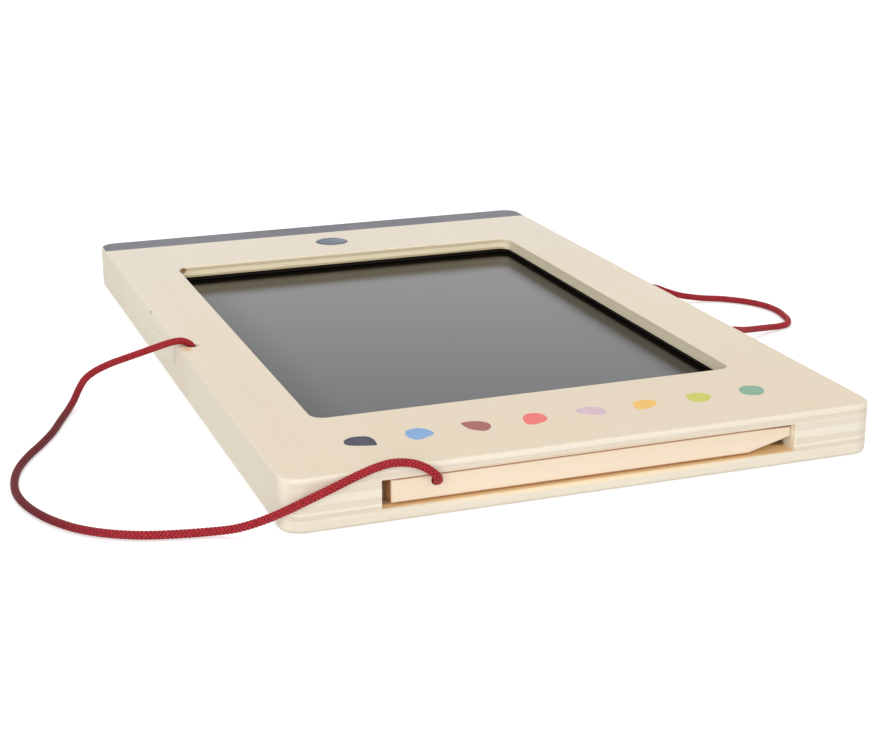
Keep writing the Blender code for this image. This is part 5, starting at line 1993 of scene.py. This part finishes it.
# The carrying loop from its far knot, along the table and back to its near knot, in millimetres
LOOP_ROUTE: tuple[Point, ...] = (
    (81.4, 26.6, 7.9), (86.3, 26.6, 7.9), (92.6, 26.6, 7.7), (98.4, 26.6, 6.9),
    (103.0, 26.6, 5.0), (109.0, 26.2, 2.9), (116.6, 24.6, 1.6), (124.0, 21.4, 1.3),
    (130.0, 15.4, 1.3), (133.6, 8.6, 1.3), (134.6, 1.2, 1.3), (133.6, -5.4, 1.3),
    (131.9, -11.4, 1.3), (129.0, -15.8, 1.3), (124.6, -17.6, 1.4), (119.2, -19.4, 2.0),
    (112.6, -22.6, 3.1), (106.0, -26.2, 4.4), (100.0, -29.8, 6.1), (93.0, -32.4, 7.5),
    (86.3, -33.0, 7.9), (81.4, -33.0, 7.9),
)


@dataclass
class Cords:
    """The braided tether, the braided carrying loop and the knots that hold them."""

    tether_length: float = 261.0 * MM
    loop_length: float = 138.5 * MM
    strands: int = RED_CORD.strands
    lay: float = 8.6 * MM
    relief: float = 0.18 * MM
    strand_round: float = 0.8
    strand_under: float = 0.6
    sides: int = 48
    step: float = 0.2 * MM
    path_step: float = 1.0 * MM
    curve_steps: int = 24
    first_side: Point = (0.0, 1.0, 0.2)
    knot_cord: float = 1.5 * MM
    knot_opening: float = 0.12
    knot_steps: int = 200
    tether_exit: Vector = field(default_factory=lambda: Vector((-82.4, -10.0, 15.1)) * MM)
    slack_start: Vector = field(default_factory=lambda: Vector((-140.0, -100.0, 0.0)) * MM)
    slack_end: Vector = field(default_factory=lambda: Vector((-85.0, -135.0, 0.0)) * MM)

    def build(self) -> None:
        tether_knot, *loop_knots = [self.knot(name) for name in ("tether_knot", *LOOP_KNOTS)]
        line = self.smooth(TETHER_ROUTE)
        tether = self.braid("stylus_tether", line, CORD_DIAMETER)
        tether.data.materials.append(RED_CORD.material())
        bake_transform(tether)
        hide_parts("stylus_cord", "stylus_cord_end")
        self.declare(tether, line)
        line = self.smooth(LOOP_ROUTE)
        loop = self.braid("carrying_loop", line, CORD_DIAMETER)
        dress(loop, RED_CORD, Body.TABLET, ["carry_loop"])
        self.declare(loop, line)

    def declare(
        self, cord: Piece, line: np.ndarray
    ) -> None:
        """Reports the length of a braid's line.

        Args:
            cord: The braid.
            line: The polyline that it follows.
        """
        LOG.info("%s is %.1f mm long", cord.name, self.passed(line)[-1] / MM)

    def smooth(self, route: Sequence[Point]) -> np.ndarray:
        """A fine polyline on the Catmull-Rom curve through a route's points.

        Args:
            route: The route's points, in millimetres.

        Returns:
            The polyline's points, in metres.
        """
        points = np.array(route) * MM
        padded = np.vstack([2 * points[0] - points[1], points, 2 * points[-1] - points[-2]])
        return np.vstack([points[:1], curve_through(padded, self.curve_steps)])

    @staticmethod
    def passed(line: np.ndarray) -> np.ndarray:
        """The length along a polyline up to each of its points."""
        return np.concatenate([[0.0], np.cumsum(np.linalg.norm(np.diff(line, axis=0), axis=1))])

    def even(self, line: np.ndarray, step: float) -> np.ndarray:
        """Points about one step apart along a polyline.

        Args:
            line: The polyline.
            step: How far apart the points are to be.

        Returns:
            The points.
        """
        passed = self.passed(line)
        places = np.linspace(0.0, passed[-1], max(2, round(passed[-1] / step) + 1))
        return np.stack([np.interp(places, passed, line[:, axis]) for axis in range(3)], axis=1)

    def carried(self, centre: np.ndarray) -> tuple[np.ndarray, np.ndarray]:
        """Two directions across a line at each point, carried along it without twist.

        Args:
            centre: The line's points.

        Returns:
            The two directions at each point.
        """
        ahead = np.gradient(centre, axis=0)
        ahead /= np.linalg.norm(ahead, axis=1, keepdims=True)
        side = np.cross(ahead[0], self.first_side)
        sides = []
        for direction in ahead:
            side = side - direction * side.dot(direction)
            side /= np.linalg.norm(side)
            sides.append(side)
        return np.array(sides), np.cross(ahead, np.array(sides))

    def strand_height(self, around: np.ndarray, along: np.ndarray) -> np.ndarray:
        """How far the braid stands out: strands wind both ways, two over and two under.

        Args:
            around: Turns round the cord, 0 to 1.
            along: Lays along the cord.

        Returns:
            Height, 0 in a gap to 1 on a crest.
        """
        winds = [self.strands * (around + along), self.strands * (around - along)]
        cells = [np.floor(wind) for wind in winds]
        shares = [wind - cell for wind, cell in zip(winds, cells)]
        turn = np.mod(cells[0] + cells[1], 4)
        first = turn < 2
        across = np.where(first, shares[0], shares[1])
        run = np.where(first, turn + shares[1], turn - 2 + shares[0]) / 2
        arch = self.strand_under + (1 - self.strand_under) * np.sin(np.pi * run)
        return np.sin(np.pi * across) ** self.strand_round * arch

    def braid(self, name: str, line: np.ndarray, diameter: float) -> Piece:
        """A closed braided tube along a line, with its strands in relief and a map along the braid.

        Args:
            name: The new object's name.
            line: A fine polyline.
            diameter: The tube's diameter over its crests.

        Returns:
            The tube, on no body yet.
        """
        centre = self.even(line, self.step)
        first, second = self.carried(centre)
        turns = np.arange(self.sides) / self.sides
        lays = np.arange(len(centre)) * self.step / self.lay
        height = self.strand_height(turns[None, :], lays[:, None])
        radius = (diameter / 2 - self.relief * (1 - height))[..., None]
        angle = (2 * np.pi * turns)[None, :, None]
        spokes = np.cos(angle) * first[:, None] + np.sin(angle) * second[:, None]
        verts = (centre[:, None] + radius * spokes).reshape(-1, 3)
        ring = np.arange(self.sides)
        after = (ring + 1) % self.sides
        start = (np.arange(len(centre) - 1) * self.sides)[:, None]
        corners = (start + ring, start + after, start + self.sides + after, start + self.sides + ring)
        quads = np.stack(corners, axis=-1).reshape(-1, 4)
        caps = [ring[::-1].tolist(), (len(verts) - self.sides + ring).tolist()]
        mesh = bpy.data.meshes.new(name)
        mesh.from_pydata(verts.tolist(), [], [*quads.tolist(), *caps])
        mesh.shade_smooth()
        tube = bpy.data.objects.new(name, mesh)
        bpy.context.scene.collection.objects.link(tube)
        self.map_braid(mesh, turns, lays)
        return tube

    def map_braid(self, mesh: bpy.types.Mesh, turns: np.ndarray, lays: np.ndarray) -> None:
        """Lays the cord's own map: turns round it, and lays along it.

        Args:
            mesh: The braid's mesh.
            turns: The place of each facet round the cord, 0 to 1.
            lays: The place of each ring along the cord.
        """
        left, right = turns, turns + 1 / self.sides
        quad = ((left, lays[:-1]), (right, lays[:-1]), (right, lays[1:]), (left, lays[1:]))
        sheet = np.zeros((len(lays) - 1, self.sides, len(quad), 2))
        for corner, (across, rows) in enumerate(quad):
            sheet[:, :, corner, 0] = across[None, :]
            sheet[:, :, corner, 1] = rows[:, None]
        caps = np.zeros((2 * self.sides, 2))
        layer = mesh.uv_layers.new(name=CORD_MAP)
        layer.data.foreach_set("uv", np.concatenate([sheet.reshape(-1, 2), caps]).astype(np.float32).ravel())

    def knot(self, node: str) -> Piece:
        """A tied cord end: a trefoil that fills its pocket.

        Args:
            node: The solid that the knot stands for.

        Returns:
            The knot.
        """
        span = Span.of(node)
        reach = (span.size.x - self.knot_cord) / 2
        rise = (span.size.z - self.knot_cord) / 2
        turn = np.linspace(self.knot_opening, 2 * np.pi - self.knot_opening, self.knot_steps)
        x = (np.sin(turn) + 2 * np.sin(2 * turn)) * reach / 3
        y = (np.cos(turn) - 2 * np.cos(2 * turn)) * reach / 3
        line = np.stack([x, y, -rise * np.sin(3 * turn)], axis=1) + np.array(span.middle)
        return dress(self.braid(f"tied_{node}", line, self.knot_cord), RED_CORD, Body.TABLET, [node])


@dataclass(frozen=True)
class Softbox:
    """A rectangular lamp: its place and its width and height in metres, and its power in watts."""

    name: str
    place: Point
    size: Pair
    power: float


@dataclass
class Studio:
    """The camera at the photograph's angle, a pale floor and soft light from all round."""

    azimuth: float = math.radians(-20.05)
    elevation: float = math.radians(17.951)
    roll: float = math.radians(-0.261)
    distance: float = 567.469 * MM
    target: Vector = field(default_factory=lambda: Vector((-3.884, -23.274, 0.0)) * MM)
    focal_pixels: float = 1752.3
    image_width: float = 880.0
    sensor: float = 36.0
    near_clip: float = 10 * MM
    floor_size: float = 12.0
    floor_drop: float = 0.05 * MM
    floor_colour: Colour = (0.82, 0.82, 0.82)
    floor_roughness: float = 0.9
    floor_glow: Pair = (0.42, 0.64)
    floor_fade: Pair = (0.5, 1.6)
    white: Colour = (1.0, 1.0, 1.0)
    ambient: float = 0.5
    lamps: tuple[Softbox, ...] = (
        Softbox("front_softbox", (-0.45, -1.2, 0.5), (1.1, 0.8), 11.0),
        Softbox("top_softbox", (0.1, 0.15, 1.3), (1.4, 1.4), 7.0),
    )

    def build(self) -> None:
        """Sets the camera, the floor, the world and the lamps."""
        self.camera()
        self.floor()
        self.world()
        for box in self.lamps:
            self.lamp(box)
        bpy.context.scene.view_settings.view_transform = "Standard"

    def camera(self) -> None:
        """The camera, turned about its own axis as the photograph is."""
        flat = math.cos(self.elevation)
        across, ahead = math.sin(self.azimuth) * flat, -math.cos(self.azimuth) * flat
        back = Vector((across, ahead, math.sin(self.elevation)))
        right = Vector((0.0, 0.0, 1.0)).cross(back).normalized()
        level = Matrix((right, back.cross(right), back)).transposed()
        bpy.ops.object.camera_add()
        camera = bpy.context.object
        camera.name = "photo_camera"
        turned = level @ Matrix.Rotation(self.roll, 3, "Z")
        camera.matrix_world = Matrix.Translation(self.target + back * self.distance) @ turned.to_4x4()
        camera.data.sensor_fit = "HORIZONTAL"
        camera.data.sensor_width = self.sensor
        camera.data.lens = self.focal_pixels / self.image_width * self.sensor
        camera.data.clip_start = self.near_clip
        bpy.context.scene.camera = camera

    def floor(self) -> None:
        """A pale floor that the camera sees as white, with the object's shadow left on it."""
        Bench.put_down()
        bpy.ops.mesh.primitive_plane_add(size=self.floor_size, location=(0.0, 0.0, -self.floor_drop))
        floor = Bench.settle("studio_floor")
        material = bpy.data.materials.new("studio_floor_paper")
        material.use_nodes = True
        paint = Painter(material.node_tree)
        shader = material.node_tree.nodes["Principled BSDF"].inputs
        shader["Base Color"].default_value = (*self.floor_colour, 1.0)
        shader["Roughness"].default_value = self.floor_roughness
        shader["Specular IOR Level"].default_value = 0.0
        shader["Emission Color"].default_value = (*self.white, 1.0)
        glow = paint.between(paint.length(paint.place()), self.floor_fade, self.floor_glow)
        paint.join(paint.product(self.direct_view(paint), glow), shader["Emission Strength"])
        floor.data.materials.append(material)

    def world(self) -> None:
        """White for the camera and in reflections, and a plain level of light for everything else."""
        world = bpy.data.worlds.new("studio_tent")
        world.use_nodes = True
        paint = Painter(world.node_tree)
        world.node_tree.nodes.clear()
        light = paint.node("Background", {"Color": self.white, "Strength": self.ambient})
        seen = paint.node("Background", {"Color": self.white, "Strength": 1.0})
        mixed = paint.node("MixShader", {0: self.direct_view(paint), 1: light.outputs[0], 2: seen.outputs[0]})
        paint.node("OutputWorld", {"Surface": mixed.outputs[0]})
        bpy.context.scene.world = world

    @staticmethod
    def direct_view(paint: Painter) -> Socket:
        """What the camera sees itself, in a reflection or through glass.

        Args:
            paint: The painter of a material or of the world.

        Returns:
            1 for it, and 0 for all other light.
        """
        path = paint.node("LightPath").outputs
        seen = paint.math("MAXIMUM", path["Is Camera Ray"], path["Is Glossy Ray"])
        return paint.math("MAXIMUM", seen, path["Is Transmission Ray"])

    def lamp(self, box: Softbox) -> None:
        """Sets up a softbox that faces the object.

        Args:
            box: The softbox.
        """
        Bench.put_down()
        bpy.ops.object.light_add(type="AREA", location=box.place)
        lamp = bpy.context.object
        lamp.name = box.name
        lamp.rotation_euler = (self.target - Vector(box.place)).to_track_quat("-Z", "Y").to_euler()
        lamp.data.shape = "RECTANGLE"
        lamp.data.size, lamp.data.size_y = box.size
        lamp.data.energy = box.power


def main() -> None:
    """Builds the sub-assemblies and the studio in order."""
    logging.basicConfig(level=logging.INFO, format="%(name)s: %(message)s")
    for assembly in (
        Studio(),
        Cords(),
        Board(),
        PrintedDrops(),
        ScreenModule(),
        EraseButton(),
        Stylus(),
        BatteryDoor(),
        Electronics(),
    ):
        LOG.info("building %s", type(assembly).__name__)
        assembly.build()


if __name__ == "__main__":
    main()
